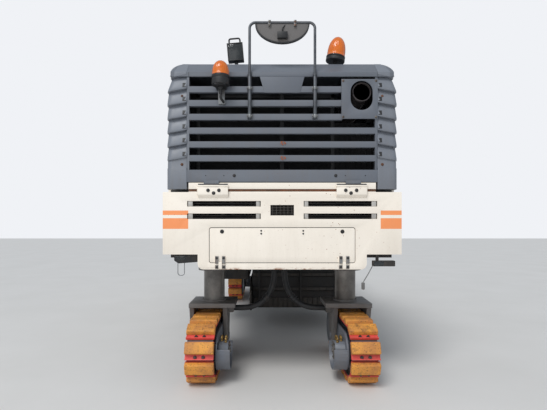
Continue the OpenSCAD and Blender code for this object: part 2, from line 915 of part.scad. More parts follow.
module rear_lamps() {
    y = y_face + 60;
    color(DARK) {
        block([-rear_lamp_x - 255, y, sill_z - 100], [-rear_lamp_x, y + 70, sill_z]);
        block([rear_lamp_x + 110, y + 10, sill_z - 72], [rear_lamp_x + 140, y + 40, sill_z]);
        block([rear_lamp_x + 77, y, sill_z - 131], [rear_lamp_x + 313, y + 60, sill_z - 71]);
    }
}

module milling_drum() {
    color(STEEL)
        translate([0, y_drum, drum_z])
            rotate([0, 90, 0]) {
                translate([0, 0, drum_left])
                    cylinder(r = drum_tube_r, h = cut_w);
                translate([0, 0, housing_x0 + 1])
                    cylinder(r = 120, h = housing_x1 - housing_x0 - 2);
                for (x = [drum_left + 20 : pick_pitch : drum_right - 20])
                    rotate([0, 0, -abs(x) / pick_pitch * pick_turn])
                        translate([0, 0, x])
                            pick();
            }
}

// Holder and pick, standing off the drum along +X.
module pick() {
    translate([drum_tube_r - 12, -30, -18])
        cube([62, 60, 36]);
    translate([drum_tube_r + 40, 0, 0])
        rotate([0, 90, 0])
            cylinder(r1 = 20, r2 = 4, h = drum_r - drum_tube_r - 40);
}

module scraper() {
    y0 = y_drum - housing_l / 2;
    color(STEEL) {
        block([housing_x0, y0 - 50, 340], [housing_x1, y0 - 20, 1180]);
        for (x = [housing_x0 + 100, (housing_x0 + housing_x1) / 2 - 15, housing_x1 - 130])
            block([x, y0 - 110, 420], [x + 30, y0 - 49, 1100]);
        for (x = [housing_x0 + 150, housing_x1 - 350])
            translate([x, y0 - 35, scraper_pin_z])
                rotate([0, 90, 0])
                    cylinder(r = scraper_pin_r, h = 200);
    }
}

// Plate beside the cut, drawn outward from the housing's side at x.
module edge_plate(x) {
    half = edge_l / 2;
    color(STEEL)
        along_x(x, x + edge_t)
            polygon([[y_drum - half, edge_z + 150], [y_drum - half + 160, edge_z],
                [y_drum + half - 160, edge_z], [y_drum + half, edge_z + 150],
                [y_drum + half, edge_z + 350], [y_drum + 500, edge_z + 500],
                [y_drum - 500, edge_z + 500], [y_drum - half, edge_z + 350]]);
}

module swivel_bracket() {
    cheek_x = belt_frame_x + shut_gap;
    color(STEEL) {
        difference() {
            union() {
                translate([0, y_swivel, 1140 + running_gap])
                    cylinder(r = 300, h = 40);
                block([-cheek_x - 1, y_swivel - 149, 1142], [cheek_x + 1, y_swivel + 149, 1180]);
                block([-lift_x - 50, y_swivel + 149, 1142], [lift_x + 50, y_swivel + 250, 1166]);
            }
            translate([0, y_swivel, 1139])
                cylinder(r = 60 + running_gap, h = 80);
        }
        both_sides() {
            difference() {
                along_x(cheek_x, cheek_x + 14)
                    polygon([[y_swivel - 150, 1142], [y_swivel + 250, 1142],
                        [y_swivel + 80, lift_z + 80], [y_swivel - 80, lift_z + 80]]);
                translate([belt_frame_x, lift_y, lift_z])
                    rotate([0, 90, 0])
                        cylinder(r = 40 + running_gap, h = 100);
            }
            block([lift_x - 50, y_swivel + 249, 1120], [lift_x + 50, y_swivel + 680, 1142]);
            block([lift_x - 50, y_swivel + 200, 1120], [lift_x + 50, y_swivel + 251, 1166]);
            for (x = [lift_x - 34, lift_x + 20])
                along_x(x, x + 14)
                    {
                        translate(lift_foot)
                            circle(r = 44);
                        translate([lift_foot[0] - 44, 1141])
                            square([88, lift_foot[1] - 1141]);
                    }
            translate([lift_x - 34, lift_foot[0], lift_foot[1]])
                rotate([0, 90, 0])
                    cylinder(r = lift_pin_r, h = 68);
        }
    }
}

// Parts drawn along the discharge conveyor, from its hinge.
module on_discharge() {
    translate([0, lift_y, lift_z])
        rotate([discharge_slope, 0, 0])
            children();
}

module discharge_conveyor() {
    h = belt_frame_h / 2;
    color(CREAM)
        on_discharge() {
            both_sides() {
                block([belt_frame_x - 30, -tail_len, -h], [belt_frame_x, discharge_len, skirt_h]);
                translate([belt_frame_x - 1, 0, 0])
                    rotate([0, 90, 0])
                        cylinder(r = 40, h = 30);
                translate([belt_frame_x - 1, 700, 0])
                    rotate([0, 90, 0])
                        cylinder(r = lift_pin_r, h = lift_x - belt_frame_x + 32);
            }
            for (y = [-200 : 800 : discharge_len - 300])
                block([-belt_frame_x + 29, y, -h], [belt_frame_x - 29, y + 60, -h + 30]);
        }
}

module discharge_belt() {
    color(RUBBER)
        on_discharge()
            difference() {
                along_x(-belt_frame_x + 31, belt_frame_x - 31)
                    belt_outline(roller_r);
                along_x(-belt_frame_x, belt_frame_x)
                    belt_outline(roller_r - 14);
            }
    color(STEEL)
        on_discharge()
            for (y = [-tail_len + roller_r, discharge_len])
                translate([-belt_frame_x + 30, y, 0])
                    rotate([0, 90, 0])
                        cylinder(r = roller_r - 14, h = 2 * belt_frame_x - 60);
}

module belt_outline(r) {
    translate([-tail_len + roller_r, -r])
        square([discharge_len + tail_len - roller_r, 2 * r]);
    for (y = [-tail_len + roller_r, discharge_len])
        translate([y, 0])
            circle(r = r);
}

// Parts drawn along a lift cylinder, from its foot towards the conveyor.
module on_cylinder(x) {
    translate([x, lift_foot[0], lift_foot[1]])
        rotate([-atan2(lift_eye[0] - lift_foot[0], lift_eye[1] - lift_foot[1]), 0, 0])
            children();
}

// Round lug across X at the origin, with its bore.
module eye(w, r, bore) {
    rotate([0, 90, 0])
        difference() {
            cylinder(r = r, h = w, center = true);
            cylinder(r = bore, h = w + 2, center = true);
        }
}

module lift_barrels() {
    color(STEEL)
        both_sides()
            on_cylinder(lift_x) {
                eye(36, 40, lift_pin_r + running_gap);
                translate([-18, -25, 32])
                    cube([36, 50, 24]);
                difference() {
                    translate([0, 0, 55])
                        cylinder(r = 45, h = 280);
                    translate([0, 0, 75])
                        cylinder(r = rod_r + running_gap, h = 280);
                }
            }
}

module lift_rods() {
    color([0.7, 0.7, 0.72])
        both_sides()
            on_cylinder(lift_x) {
                translate([0, 0, 150])
                    cylinder(r = rod_r, h = lift_l - 175);
                translate([0, 0, lift_l])
                    eye(36, 42, lift_pin_r + 2);
            }
}

module tie_rod(y) {
    color(STEEL)
        difference() {
            union() {
                bar([-column_x, y + steer_arm, sleeve_z + 45], [column_x, y + steer_arm,
                    sleeve_z + 45], 18);
                both_sides()
                    translate([column_x, y + steer_arm, sleeve_z + 26])
                        cylinder(r = 42, h = 38);
            }
            both_sides()
                translate([column_x, y + steer_arm, sleeve_z])
                    cylinder(r = tie_pin_r + running_gap, h = 90);
        }
}

// Steered sleeve with its arm towards +Y.
module sleeve() {
    color(STEEL)
        difference() {
            union() {
                translate([0, 0, sleeve_z])
                    cylinder(r = sleeve_r, h = guide_z + guide_h + 20 - sleeve_z);
                translate([0, 0, sleeve_z])
                    cylinder(r = guide_r, h = guide_z - running_gap - sleeve_z);
                translate([0, 0, guide_z + guide_h + running_gap])
                    cylinder(r = guide_r, h = 19.5);
                block([-45, 0, sleeve_z], [45, steer_arm + 10, sleeve_z + 25]);
                translate([0, steer_arm, sleeve_z])
                    cylinder(r = 45, h = 25);
                translate([0, steer_arm, sleeve_z])
                    cylinder(r = tie_pin_r, h = 68);
            }
            translate([0, 0, sleeve_z - 1])
                cylinder(r = column_r + running_gap, h = 1000);
        }
}

// Column, plate and cheeks of one leg, with the brackets that carry its hoses.
module leg() {
    plate_z = fork_top_z - fork_plate_t;
    color(STEEL)
        difference() {
            union() {
                translate([0, 0, plate_z + 1])
                    cylinder(r = column_r, h = column_top_z - plate_z - 1);
                translate([0, 0, fork_top_z - 1])
                    cylinder(r = column_r + 18, h = 19);
                block([-fork_in, -fork_len / 2, plate_z], [fork_out, fork_len / 2, fork_top_z]);
                for (x = [cheek_in - cheek_t, cheek_out])
                    along_x(x, x + cheek_t) {
                        polygon([[-fork_len / 2 + 30, plate_z + 1], [fork_len / 2 - 30, plate_z + 1],
                            [cheek_r, rocker_z], [-cheek_r, rocker_z]]);
                        translate([0, rocker_z])
                            circle(r = cheek_r);
                    }
                block([hose_end_x - column_x, -50, hose_end_z - 48], [cheek_in - cheek_t + 1, 50,
                    hose_end_z + 45]);
            }
            translate([-400, 0, rocker_z])
                rotate([0, 90, 0])
                    cylinder(r = rocker_pin_r + running_gap, h = 800);
        }
}

// Racetrack outline in (Y, Z) at a distance from the wheels' centres.
module loop_outline(r) {
    translate([-half_run, end_r - r])
        square([2 * half_run, 2 * r]);
    for (y = [-half_run, half_run])
        translate([y, end_r])
            circle(r = r);
}

module track_frame() {
    mid = track_offset;
    inner = band_r - link_t;
    guard_x = mid - track_w / 2;
    color(GREY_PAINT) {
        along_x(guard_x - guard_t, guard_x - 2)
            loop_outline(inner - 20);
        block([guard_x - 3, -half_run - 40, end_r - 90], [mid + link_w / 2, half_run + 40,
            end_r + 90]);
        translate([cheek_in - cheek_t - 10, 0, rocker_z])
            rotate([0, 90, 0])
                cylinder(r = rocker_pin_r, h = cheek_out + cheek_t - cheek_in + cheek_t + 20);
        for (y = [-half_run, half_run])
            translate([mid - link_w / 2, y, end_r])
                rotate([0, 90, 0])
                    cylinder(r = inner - 3, h = link_w);
        for (i = [-2 : 2])
            translate([mid - link_w / 2, i * 190, end_r - inner + roller_track_r + running_gap])
                rotate([0, 90, 0])
                    cylinder(r = roller_track_r, h = link_w);
        translate([guard_x - 107 - guard_t, half_run, end_r])
            rotate([0, 90, 0])
                cylinder(r = motor_r, h = 108);
        along_x(guard_x - guard_t - motor_guard_w, guard_x - guard_t + 1)
            translate([half_run, end_r])
                difference() {
                    circle(r = motor_guard_r);
                    circle(r = motor_guard_r - 12);
                    translate([-motor_guard_r - 1, 60])
                        square([2 * motor_guard_r + 2, motor_guard_r]);
                }
    }
}

// Place along the loop from the middle of the ground run: [y, z, turn].
function loop_at(s) =
    let (arc = PI * band_r, a = half_run, b = a + arc, c = b + 2 * half_run, d = c + arc)
    s < a ? [s, end_r - band_r, 0] :
    s < b ? let (t = (s - a) / band_r * 180 / PI)
        [half_run + band_r * sin(t), end_r - band_r * cos(t), t] :
    s < c ? [half_run - (s - b), end_r + band_r, 180] :
    s < d ? let (t = (s - c) / band_r * 180 / PI)
        [-half_run - band_r * sin(t), end_r + band_r * cos(t), 180 + t] :
    [-half_run + (s - d), end_r - band_r, 0];

module track() {
    color(RED)
        along_x(track_offset - link_w / 2, track_offset + link_w / 2)
            difference() {
                loop_outline(band_r);
                loop_outline(band_r - link_t);
            }
    for (i = [0 : shoe_count - 1]) {
        p = loop_at((i + 0.5) * shoe_pitch);
        translate([track_offset, p[0], p[1]])
            rotate([p[2], 0, 0])
                shoe();
    }
}

// Steel shoe with its pad, ground face down, from the band's outer face.
module shoe() {
    color(RED)
        block([-track_w / 2, -pad_len / 2 - 15, -shoe_t], [track_w / 2, pad_len / 2 + 15, 1]);
    color(PAD)
        along_x(-track_w / 2, track_w / 2)
            polygon([[-pad_len / 2, 1 - shoe_t], [-pad_len / 2, -shoe_t - pad_t + 10],
                [-pad_len / 2 + 10, -shoe_t - pad_t], [pad_len / 2 - 10, -shoe_t - pad_t],
                [pad_len / 2, -shoe_t - pad_t + 10], [pad_len / 2, 1 - shoe_t]]);
}

// Ring of a tube's corners at a point, square to the way the path runs there.
function tube_ring(p, along, r) =
    let (t = along / norm(along), u = cross(t, [0, 1, 0]) / norm(cross(t, [0, 1, 0])), w = cross(t, u))
    [for (k = [0 : hose_sides - 1])
        p + r * (cos(k * 360 / hose_sides) * u + sin(k * 360 / hose_sides) * w)];

// Round tube along a path of points, closed by a flat at each end.
module tube(path, r) {
    last = len(path) - 1;
    rings = [for (i = [0 : last])
        tube_ring(path[i], path[min(i + 1, last)] - path[max(i - 1, 0)], r)];
    n = hose_sides;
    walls = [for (i = [0 : last - 1], k = [0 : n - 1])
        [i * n + k, i * n + (k + 1) % n, (i + 1) * n + (k + 1) % n, (i + 1) * n + k]];
    polyhedron([for (ring = rings, corner = ring) corner],
        concat(walls, [[for (k = [n - 1 : -1 : 0]) k], [for (k = [0 : n - 1]) last * n + k]]));
}

// Bundle of hoses from its gland on the frame down to the bracket on the fork's cheek.
module hoses(end) {
    color(RUBBER)
        translate([0, end > 0 ? y_front : y_rear, 0])
            tube(end > 0 ? front_route : rear_route, hose_r);
}

chassis_frame();
side_panels();
rear_bumper();
bumper_flap();
engine_block();
radiator();
exhaust();
platform();
ladders();
railings();
consoles();
water_tank();
head_lamps();
oil_tank();
drum_housing();
primary_conveyor();
hood_shell();
grille();
corner_ribs();
hoop();
beacons();
work_lamp();
rear_lamps();
milling_drum();
scraper();
edge_plate(housing_x0 - 8 - edge_t);  // edge_plate_left
edge_plate(housing_x1 + 8);  // edge_plate_right
swivel_bracket();
discharge_conveyor();
discharge_belt();
lift_barrels();
lift_rods();
tie_rod(y_front);  // tie_rod_front
tie_rod(y_rear);  // tie_rod_rear
for (l = LEGS) {
    at_leg(l[1], l[2]) sleeve();
    at_leg(l[1], l[2]) leg();
    at_leg(l[1], l[2]) drive_end(l[2]) track_frame();
    at_leg(l[1], l[2]) track();
    scale([l[1], 1, 1]) hoses(l[2]);
}
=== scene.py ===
import json
import math
import random

import bmesh
import bpy
from mathutils import Matrix, Vector


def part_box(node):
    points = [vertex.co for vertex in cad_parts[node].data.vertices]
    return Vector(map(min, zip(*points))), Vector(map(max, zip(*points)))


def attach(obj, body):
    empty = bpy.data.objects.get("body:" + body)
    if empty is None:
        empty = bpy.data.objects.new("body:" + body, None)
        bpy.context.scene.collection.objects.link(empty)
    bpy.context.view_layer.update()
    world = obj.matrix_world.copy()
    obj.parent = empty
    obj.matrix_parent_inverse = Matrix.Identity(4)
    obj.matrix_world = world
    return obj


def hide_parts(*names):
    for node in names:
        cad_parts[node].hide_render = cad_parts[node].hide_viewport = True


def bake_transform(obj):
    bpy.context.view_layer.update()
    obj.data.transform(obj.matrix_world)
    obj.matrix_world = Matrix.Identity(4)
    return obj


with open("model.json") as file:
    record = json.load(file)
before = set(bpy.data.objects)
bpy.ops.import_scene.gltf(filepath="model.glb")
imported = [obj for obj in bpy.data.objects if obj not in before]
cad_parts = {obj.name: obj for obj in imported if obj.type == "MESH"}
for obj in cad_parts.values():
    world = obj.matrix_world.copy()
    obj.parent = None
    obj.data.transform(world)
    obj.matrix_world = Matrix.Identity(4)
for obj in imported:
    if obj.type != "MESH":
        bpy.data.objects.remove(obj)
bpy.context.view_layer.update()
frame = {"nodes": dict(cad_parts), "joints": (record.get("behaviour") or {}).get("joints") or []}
nodes = frame["nodes"]
legNames = ("fl", "fr", "rl", "rr")


def low(node):
    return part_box(node)[0]


def high(node):
    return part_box(node)[1]


def middle(node):
    a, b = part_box(node)
    return (a + b) / 2


# stations that the pieces are placed from
faceY = low("corner_ribs").y
beltZ = high("side_panels").z
sillZ = low("side_panels").z
noseY = high("side_panels").y
roofZ = high("hood_shell").z
deckZ = high("platform").z
legAt = {name: middle("leg_" + name) for name in legNames}
face = Vector((0, faceY, 0))  # from which the pieces at the rear are measured
backwards = (math.radians(90), 0, 0)  # turns a part drawn along +Z to point back at the camera


# colour as it looks on a screen, 0 to 255, for a shader's socket
def shade(red, green, blue):
    parts = [c / 255 for c in (red, green, blue)]
    return [c / 12.92 if c < 0.04 else ((c + 0.055) / 1.055) ** 2.4 for c in parts] + [1.0]


# a node with its inputs set or linked
def put(tree, kind, inputs=None, **settings):
    node = tree.nodes.new(kind)
    for name, value in settings.items():
        setattr(node, name, value)
    for name, value in (inputs or {}).items():
        if isinstance(value, bpy.types.NodeSocket):
            tree.links.new(value, node.inputs[name])
        else:
            node.inputs[name].default_value = value
    return node


def calc(tree, operation, a, b=0.0):
    return put(tree, "ShaderNodeMath", {0: a, 1: b}, operation=operation).outputs[0]


def mixed(tree, share, a, b):
    return put(tree, "ShaderNodeMix", {0: share, 6: a, 7: b}, data_type="RGBA").outputs[2]


# share that runs from 0 at start to 1 at end
def between(tree, value, start, end):
    inputs = {"Value": value, "From Min": start, "From Max": end}
    return put(tree, "ShaderNodeMapRange", inputs).outputs[0]


def noise(tree, place, scale, detail=4.0, rough=0.55):
    inputs = {"Vector": place, "Scale": scale, "Detail": detail, "Roughness": rough}
    return put(tree, "ShaderNodeTexNoise", inputs).outputs["Fac"]


def stretched(tree, place, size):
    return put(tree, "ShaderNodeMapping", {"Vector": place, "Scale": size}).outputs[0]


# a material with its shader, and the place on the object that its patterns read
def newFinish(name, roughness, metallic=0.0, **fixed):
    material = bpy.data.materials.new(name)
    material.use_nodes = True
    tree = material.node_tree
    shader = tree.nodes["Principled BSDF"]
    shader.inputs["Roughness"].default_value = roughness
    shader.inputs["Metallic"].default_value = metallic
    for socket, value in fixed.items():
        shader.inputs[socket.replace("_", " ")].default_value = value
    place = put(tree, "ShaderNodeTexCoord").outputs["Object"]
    return material, tree, shader, place


def bumped(tree, shader, height, strength, distance=0.002):
    inputs = {"Height": height, "Strength": strength, "Distance": distance}
    bump = put(tree, "ShaderNodeBump", inputs)
    tree.links.new(bump.outputs[0], shader.inputs["Normal"])


# paint on sheet steel: slight mottling, streaks of dirt that thicken downwards, chips and rust
def paintFinish(name, look):
    material, tree, shader, place = newFinish(name, look["rough"], look.get("metal", 0.0))
    axes = put(tree, "ShaderNodeSeparateXYZ", {0: place}).outputs
    base = mixed(tree, noise(tree, place, 1.7, 6.0), look["paint"], look["faded"])
    if look.get("stripes"):
        base = sideStripes(tree, axes, base, look["stripes"])
    streaks = noise(tree, stretched(tree, place, (9.0, 9.0, 1.1)), 1.0, 8.0, 0.65)
    height = between(tree, axes[2], look["dirtTop"], look["dirtFoot"])
    dirty = calc(tree, "MULTIPLY", between(tree, streaks, 0.42, 0.78), height)
    dirty = calc(tree, "MULTIPLY", dirty, look["dirt"])
    base = mixed(tree, dirty, base, look["mud"])
    dust = between(tree, noise(tree, place, 55.0, 3.0), 0.60, 0.72)
    base = mixed(tree, calc(tree, "MULTIPLY", dust, look["dirt"] * 0.5), base, look["mud"])
    spots = put(tree, "ShaderNodeTexVoronoi", {"Vector": place, "Scale": look["chipScale"]})
    chips = between(tree, spots.outputs["Distance"], 0.11, 0.07)
    patches = between(tree, noise(tree, place, 2.3, 3.0), *look.get("patch", (0.55, 0.62)))
    chips = calc(tree, "MULTIPLY", calc(tree, "MULTIPLY", chips, patches), look["chips"])
    base = mixed(tree, chips, base, look["rust"])
    if look.get("rustyEdge"):
        edge = between(tree, axes[2], look["rustyEdge"] + 0.026, look["rustyEdge"] + 0.004)
        eaten = noise(tree, stretched(tree, place, (6.0, 6.0, 22.0)), 1.0, 7.0, 0.7)
        edge = calc(tree, "MULTIPLY", edge, between(tree, eaten, 0.50, 0.58))
        base = mixed(tree, edge, base, look["rust"])
    tree.links.new(base, shader.inputs["Base Color"])
    wear = calc(tree, "MULTIPLY_ADD", noise(tree, place, 14.0), 0.25)
    wear.node.inputs[2].default_value = look["rough"] - 0.12
    tree.links.new(wear, shader.inputs["Roughness"])
    bumped(tree, shader, noise(tree, place, 90.0, 2.0), look.get("peel", 0.06))
    return material


# the two plain bands of colour on each outer end of the bumper
def sideStripes(tree, axes, base, stripes):
    left = calc(tree, "LESS_THAN", axes[0], stripes["left"])
    right = calc(tree, "GREATER_THAN", axes[0], stripes["right"])
    ends = calc(tree, "MAXIMUM", left, right)
    for start, end in stripes["bands"]:
        above = calc(tree, "GREATER_THAN", axes[2], start)
        below = calc(tree, "LESS_THAN", axes[2], end)
        band = calc(tree, "MULTIPLY", calc(tree, "MULTIPLY", above, below), ends)
        base = mixed(tree, band, base, stripes["colour"])
    return base


# bare or worn metal, brushed along z, with darker and lighter patches
def metalFinish(name, look):
    material, tree, shader, place = newFinish(name, look["rough"], look["metal"])
    patches = between(tree, noise(tree, place, look["scale"], 7.0, 0.65), 0.35, 0.68)
    base = mixed(tree, patches, look["bright"], look["dark"])
    grain = noise(tree, stretched(tree, place, look.get("grain", (60.0, 60.0, 3.0))), 1.0, 5.0)
    stain = between(tree, noise(tree, place, look["scale"] * 0.35, 5.0), 0.52, 0.70)
    base = mixed(tree, calc(tree, "MULTIPLY", stain, look["stain"]), base, look["rust"])
    tree.links.new(base, shader.inputs["Base Color"])
    wear = calc(tree, "MULTIPLY_ADD", grain, 0.3)
    wear.node.inputs[2].default_value = look["rough"] - 0.15
    tree.links.new(wear, shader.inputs["Roughness"])
    bumped(tree, shader, grain, look.get("bump", 0.15), 0.001)
    return material


# rubber or cast plastic: dull, with dust in fine speckles
def rubberFinish(name, look):
    material, tree, shader, place = newFinish(name, look["rough"])
    worn = between(tree, noise(tree, place, look["scale"], 8.0, 0.7), 0.40, 0.66)
    base = mixed(tree, worn, look["clean"], look["worn"])
    speck = between(tree, noise(tree, place, look["scale"] * 14, 3.0), 0.57, 0.70)
    base = mixed(tree, calc(tree, "MULTIPLY", speck, look["specks"]), base, look["dust"])
    if look.get("stains"):
        soaked = between(tree, noise(tree, place, look["scale"] * 1.7, 9.0, 0.75), 0.54, 0.64)
        base = mixed(tree, calc(tree, "MULTIPLY", soaked, look["stains"]), base, look["dust"])
    tree.links.new(base, shader.inputs["Base Color"])
    bumped(tree, shader, noise(tree, place, look["scale"] * 6, 6.0, 0.7), look["bump"], 0.003)
    return material


mud = shade(112, 100, 86)
rustBrown = shade(120, 66, 38)
steelSet = {"chips": 0.5, "chipScale": 26.0, "rust": rustBrown, "mud": mud}
creamSet = {
    "paint": shade(255, 246, 233), "faded": shade(249, 238, 222), "rough": 0.42, "dirt": 0.2,
    "dirtTop": 2.1, "dirtFoot": 1.2, "chips": 0.9, "chipScale": 21.0, "patch": (0.48, 0.56),
    "rust": shade(150, 96, 60), "mud": shade(176, 160, 138), "peel": 0.05}
stripeSet = {
    "left": -0.983, "right": 1.03, "bands": [(1.815, 1.862), (1.670, 1.782)],
    "colour": shade(255, 156, 96)}
greySet = {
    "paint": shade(99, 104, 113), "faded": shade(112, 117, 125), "rough": 0.45, "dirt": 0.35,
    "dirtTop": 3.6, "dirtFoot": 2.0, **steelSet}
frameSet = {
    "paint": shade(101, 99, 99), "faded": shade(114, 109, 105), "rough": 0.48, "dirt": 0.75,
    "dirtTop": 2.3, "dirtFoot": 0.3, **steelSet, "mud": shade(88, 78, 66)}
# near-black paint for the parts under the machine: partly real grime, partly painted shade from the
# machine above
grimeAndShadeSet = {
    "paint": shade(33, 33, 34), "faded": shade(48, 46, 44), "rough": 0.6, "dirt": 0.8,
    "dirtTop": 1.6, "dirtFoot": 0.2, **steelSet, "mud": shade(58, 51, 44)}
blackSet = {
    "paint": shade(30, 31, 33), "faded": shade(42, 42, 43), "rough": 0.5, "dirt": 0.5,
    "dirtTop": 3.0, "dirtFoot": 0.2, **steelSet}
redSet = {
    "paint": shade(214, 68, 62), "faded": shade(236, 96, 88), "rough": 0.5, "dirt": 0.9,
    "dirtTop": 1.0, "dirtFoot": -0.1, **steelSet, "mud": shade(110, 62, 44)}
galvanisedSet = {
    "bright": shade(150, 152, 152), "dark": shade(112, 114, 116), "rough": 0.45, "metal": 0.75,
    "scale": 9.0, "stain": 0.25, "rust": shade(120, 92, 70)}
columnSet = {
    "bright": shade(150, 145, 139), "dark": shade(98, 95, 92), "rough": 0.38, "metal": 0.6,
    "scale": 3.0, "stain": 0.4, "rust": shade(96, 78, 58)}
rustSet = {
    "bright": shade(120, 84, 62), "dark": shade(70, 48, 38), "rough": 0.75, "metal": 0.25,
    "scale": 12.0, "stain": 0.7, "rust": shade(140, 80, 46), "bump": 0.35}
toolSet = {
    "bright": shade(132, 126, 118), "dark": shade(74, 66, 60), "rough": 0.5, "metal": 0.7,
    "scale": 8.0, "stain": 0.6, "rust": rustBrown, "bump": 0.25}
brassSet = {
    "bright": shade(186, 152, 92), "dark": shade(140, 116, 76), "rough": 0.35, "metal": 0.85,
    "scale": 20.0, "stain": 0.3, "rust": shade(96, 82, 64)}
padSet = {
    "clean": shade(230, 158, 66), "worn": shade(182, 120, 68), "dust": shade(84, 58, 42),
    "rough": 0.6, "scale": 5.0, "specks": 0.9, "bump": 0.35, "stains": 0.55}
hingeSet = {**galvanisedSet, "dark": shade(120, 104, 92), "stain": 0.5, "rust": shade(132, 84, 54)}
hoopSteelSet = {**galvanisedSet, "bright": shade(112, 115, 119), "dark": shade(80, 83, 88), "stain": 0.12}
hoseSet = {
    "clean": shade(24, 25, 27), "worn": shade(44, 44, 45), "dust": shade(96, 88, 78),
    "rough": 0.55, "scale": 9.0, "specks": 0.25, "bump": 0.15}
beltSet = {
    "clean": shade(33, 33, 34), "worn": shade(58, 55, 52), "dust": shade(104, 96, 86),
    "rough": 0.8, "scale": 6.0, "specks": 0.5, "bump": 0.3}
# near-black: the radiator core's own dark colour, and painted shade where it is put on the grille's deep
# faces and inside the exhaust pipe
coreAndShadeSet = {
    "clean": shade(9, 9, 10), "worn": shade(18, 18, 19), "dust": shade(40, 38, 35),
    "rough": 0.85, "scale": 8.0, "specks": 0.3, "bump": 0.2}

cream = paintFinish("cream paint", creamSet)
creamStriped = paintFinish("cream paint with side stripes", {
    **creamSet, "stripes": stripeSet, "rustyEdge": low("rear_bumper").z})
# painted light: a lighter copy of the grey paint for the corner columns, which face the sky's light on
# the left
skyLitGreySet = {**greySet, "paint": shade(116, 121, 130), "faded": shade(127, 132, 140)}
skyLitGrey = paintFinish("grey paint lit by the sky", skyLitGreySet)
grey = paintFinish("grey paint", greySet)
frameDark = paintFinish("frame paint", frameSet)
grimeAndShade = paintFinish("grimy paint darkened for shade", grimeAndShadeSet)
grimeLumpy = paintFinish("grimy wear steel", {
    **grimeAndShadeSet, "paint": shade(52, 49, 46), "faded": shade(74, 69, 63)})
black = paintFinish("black paint", blackSet)
red = paintFinish("red paint", redSet)
galvanised = metalFinish("galvanised steel", galvanisedSet)
paleSteel = metalFinish("pale steel", {
    **galvanisedSet, "bright": shade(205, 202, 196), "dark": shade(168, 164, 158), "metal": 0.2})
hingeSteel = metalFinish("hinge steel", hingeSet)
rustSpot = metalFinish("rust spots", {
    **rustSet, "bright": shade(186, 104, 58), "dark": shade(140, 76, 46), "metal": 0.0})
hoopSteel = metalFinish("hoop steel", hoopSteelSet)
columnSteel = metalFinish("column steel", columnSet)
rusty = metalFinish("rusty pipe", rustSet)
sooty = metalFinish("sooty pipe", {
    **rustSet, "bright": shade(88, 82, 82), "dark": shade(46, 42, 44), "rust": shade(92, 72, 60),
    "stain": 0.4})
toolSteel = metalFinish("tool steel", toolSet)
brass = metalFinish("plated fittings", brassSet)
padRubber = rubberFinish("worn pads", padSet)
hoseRubber = rubberFinish("hose rubber", hoseSet)
beltRubber = rubberFinish("belt rubber", beltSet)
darkCoreAndShade = rubberFinish("radiator core and painted shade", coreAndShadeSet)
print("finishes ready")


# clear amber plastic with fine waves
def amberFinish():
    material, tree, shader, place = newFinish(
        "amber lens", 0.18, 0.0, Transmission_Weight=0.25, IOR=1.49, Coat_Weight=0.3)
    tint = mixed(tree, noise(tree, place, 18.0), shade(255, 142, 40), shade(240, 108, 22))
    tree.links.new(tint, shader.inputs["Base Color"])
    wave = put(tree, "ShaderNodeTexWave", {"Vector": place, "Scale": 26.0, "Distortion": 0.0})
    bumped(tree, shader, wave.outputs["Fac"], 0.35, 0.002)
    return material


# pressed lamp glass with a pattern of cells
def glassFinish():
    material, tree, shader, place = newFinish(
        "lamp glass", 0.12, 0.0, Transmission_Weight=0.5, IOR=1.45)
    tint = mixed(tree, noise(tree, place, 7.0), shade(84, 89, 90), shade(62, 66, 68))
    tree.links.new(tint, shader.inputs["Base Color"])
    cells = put(tree, "ShaderNodeTexVoronoi", {"Vector": place, "Scale": 60.0})
    bumped(tree, shader, cells.outputs["Distance"], 0.4, 0.002)
    return material


# steel plate with raised tread bars
def treadFinish():
    material, tree, shader, place = newFinish("tread plate", 0.5, 0.3)
    base = mixed(tree, noise(tree, place, 6.0), shade(52, 52, 54), shade(74, 72, 69))
    tree.links.new(base, shader.inputs["Base Color"])
    bars = put(tree, "ShaderNodeTexVoronoi", {
        "Vector": stretched(tree, place, (26.0, 12.0, 1.0)), "Scale": 1.0}, feature="F1")
    raised = between(tree, bars.outputs["Distance"], 0.32, 0.22)
    bumped(tree, shader, raised, 0.6, 0.004)
    return material


amber = amberFinish()
glass = glassFinish()
tread = treadFinish()


# a piece with its finish, riding on its body
def finished(piece, body, finish=None):
    if finish is not None:
        piece.data.materials.clear()
        piece.data.materials.append(finish)
    piece.data.update()
    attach(piece, body)
    return piece


def pieceFrom(name, mesh):
    piece = bpy.data.objects.new(name, mesh)
    bpy.context.scene.collection.objects.link(piece)
    return piece


def meshFrom(name, shape):
    mesh = bpy.data.meshes.new(name)
    bmesh.ops.recalc_face_normals(shape, faces=shape.faces)
    shape.to_mesh(mesh)
    shape.free()
    return mesh


# the mesh as it is after its modifiers
def evaluated(piece):
    bpy.context.view_layer.update()
    graph = bpy.context.evaluated_depsgraph_get()
    return bpy.data.meshes.new_from_object(piece.evaluated_get(graph))


def smoothed(mesh, angle=38):
    mesh.shade_smooth()
    mesh.set_sharp_from_angle(angle=math.radians(angle))


# (x, y) points round a circle
def around(count, radius, first=0.0):
    turns = [first + 2 * math.pi * i / count for i in range(count)]
    return [(radius * math.cos(t), radius * math.sin(t)) for t in turns]


# -1 for a left leg, 1 for a right one
def sideOf(leg):
    return -1 if leg[1] == "l" else 1


# points measured from an origin
def moved(origin, points):
    return [origin + Vector(p) for p in points]


# a box between two corners added to a shape, turned about its own middle
def addBox(shape, lowest, highest, turn=None):
    size = Vector(highest) - Vector(lowest)
    centre = (Vector(highest) + Vector(lowest)) / 2
    turned = turn.to_4x4() if turn else Matrix.Identity(4)
    place = Matrix.Translation(centre) @ turned @ Matrix.Diagonal((*size, 1))
    return bmesh.ops.create_cube(shape, size=1.0, matrix=place)["verts"]


# a box given on the right side, and its mirror image on the left
def addPair(shape, lowest, highest, turn=None):
    for side in (-1, 1):
        x0, x1 = sorted((side * lowest[0], side * highest[0]))
        addBox(shape, (x0, *lowest[1:]), (x1, *highest[1:]), turn)


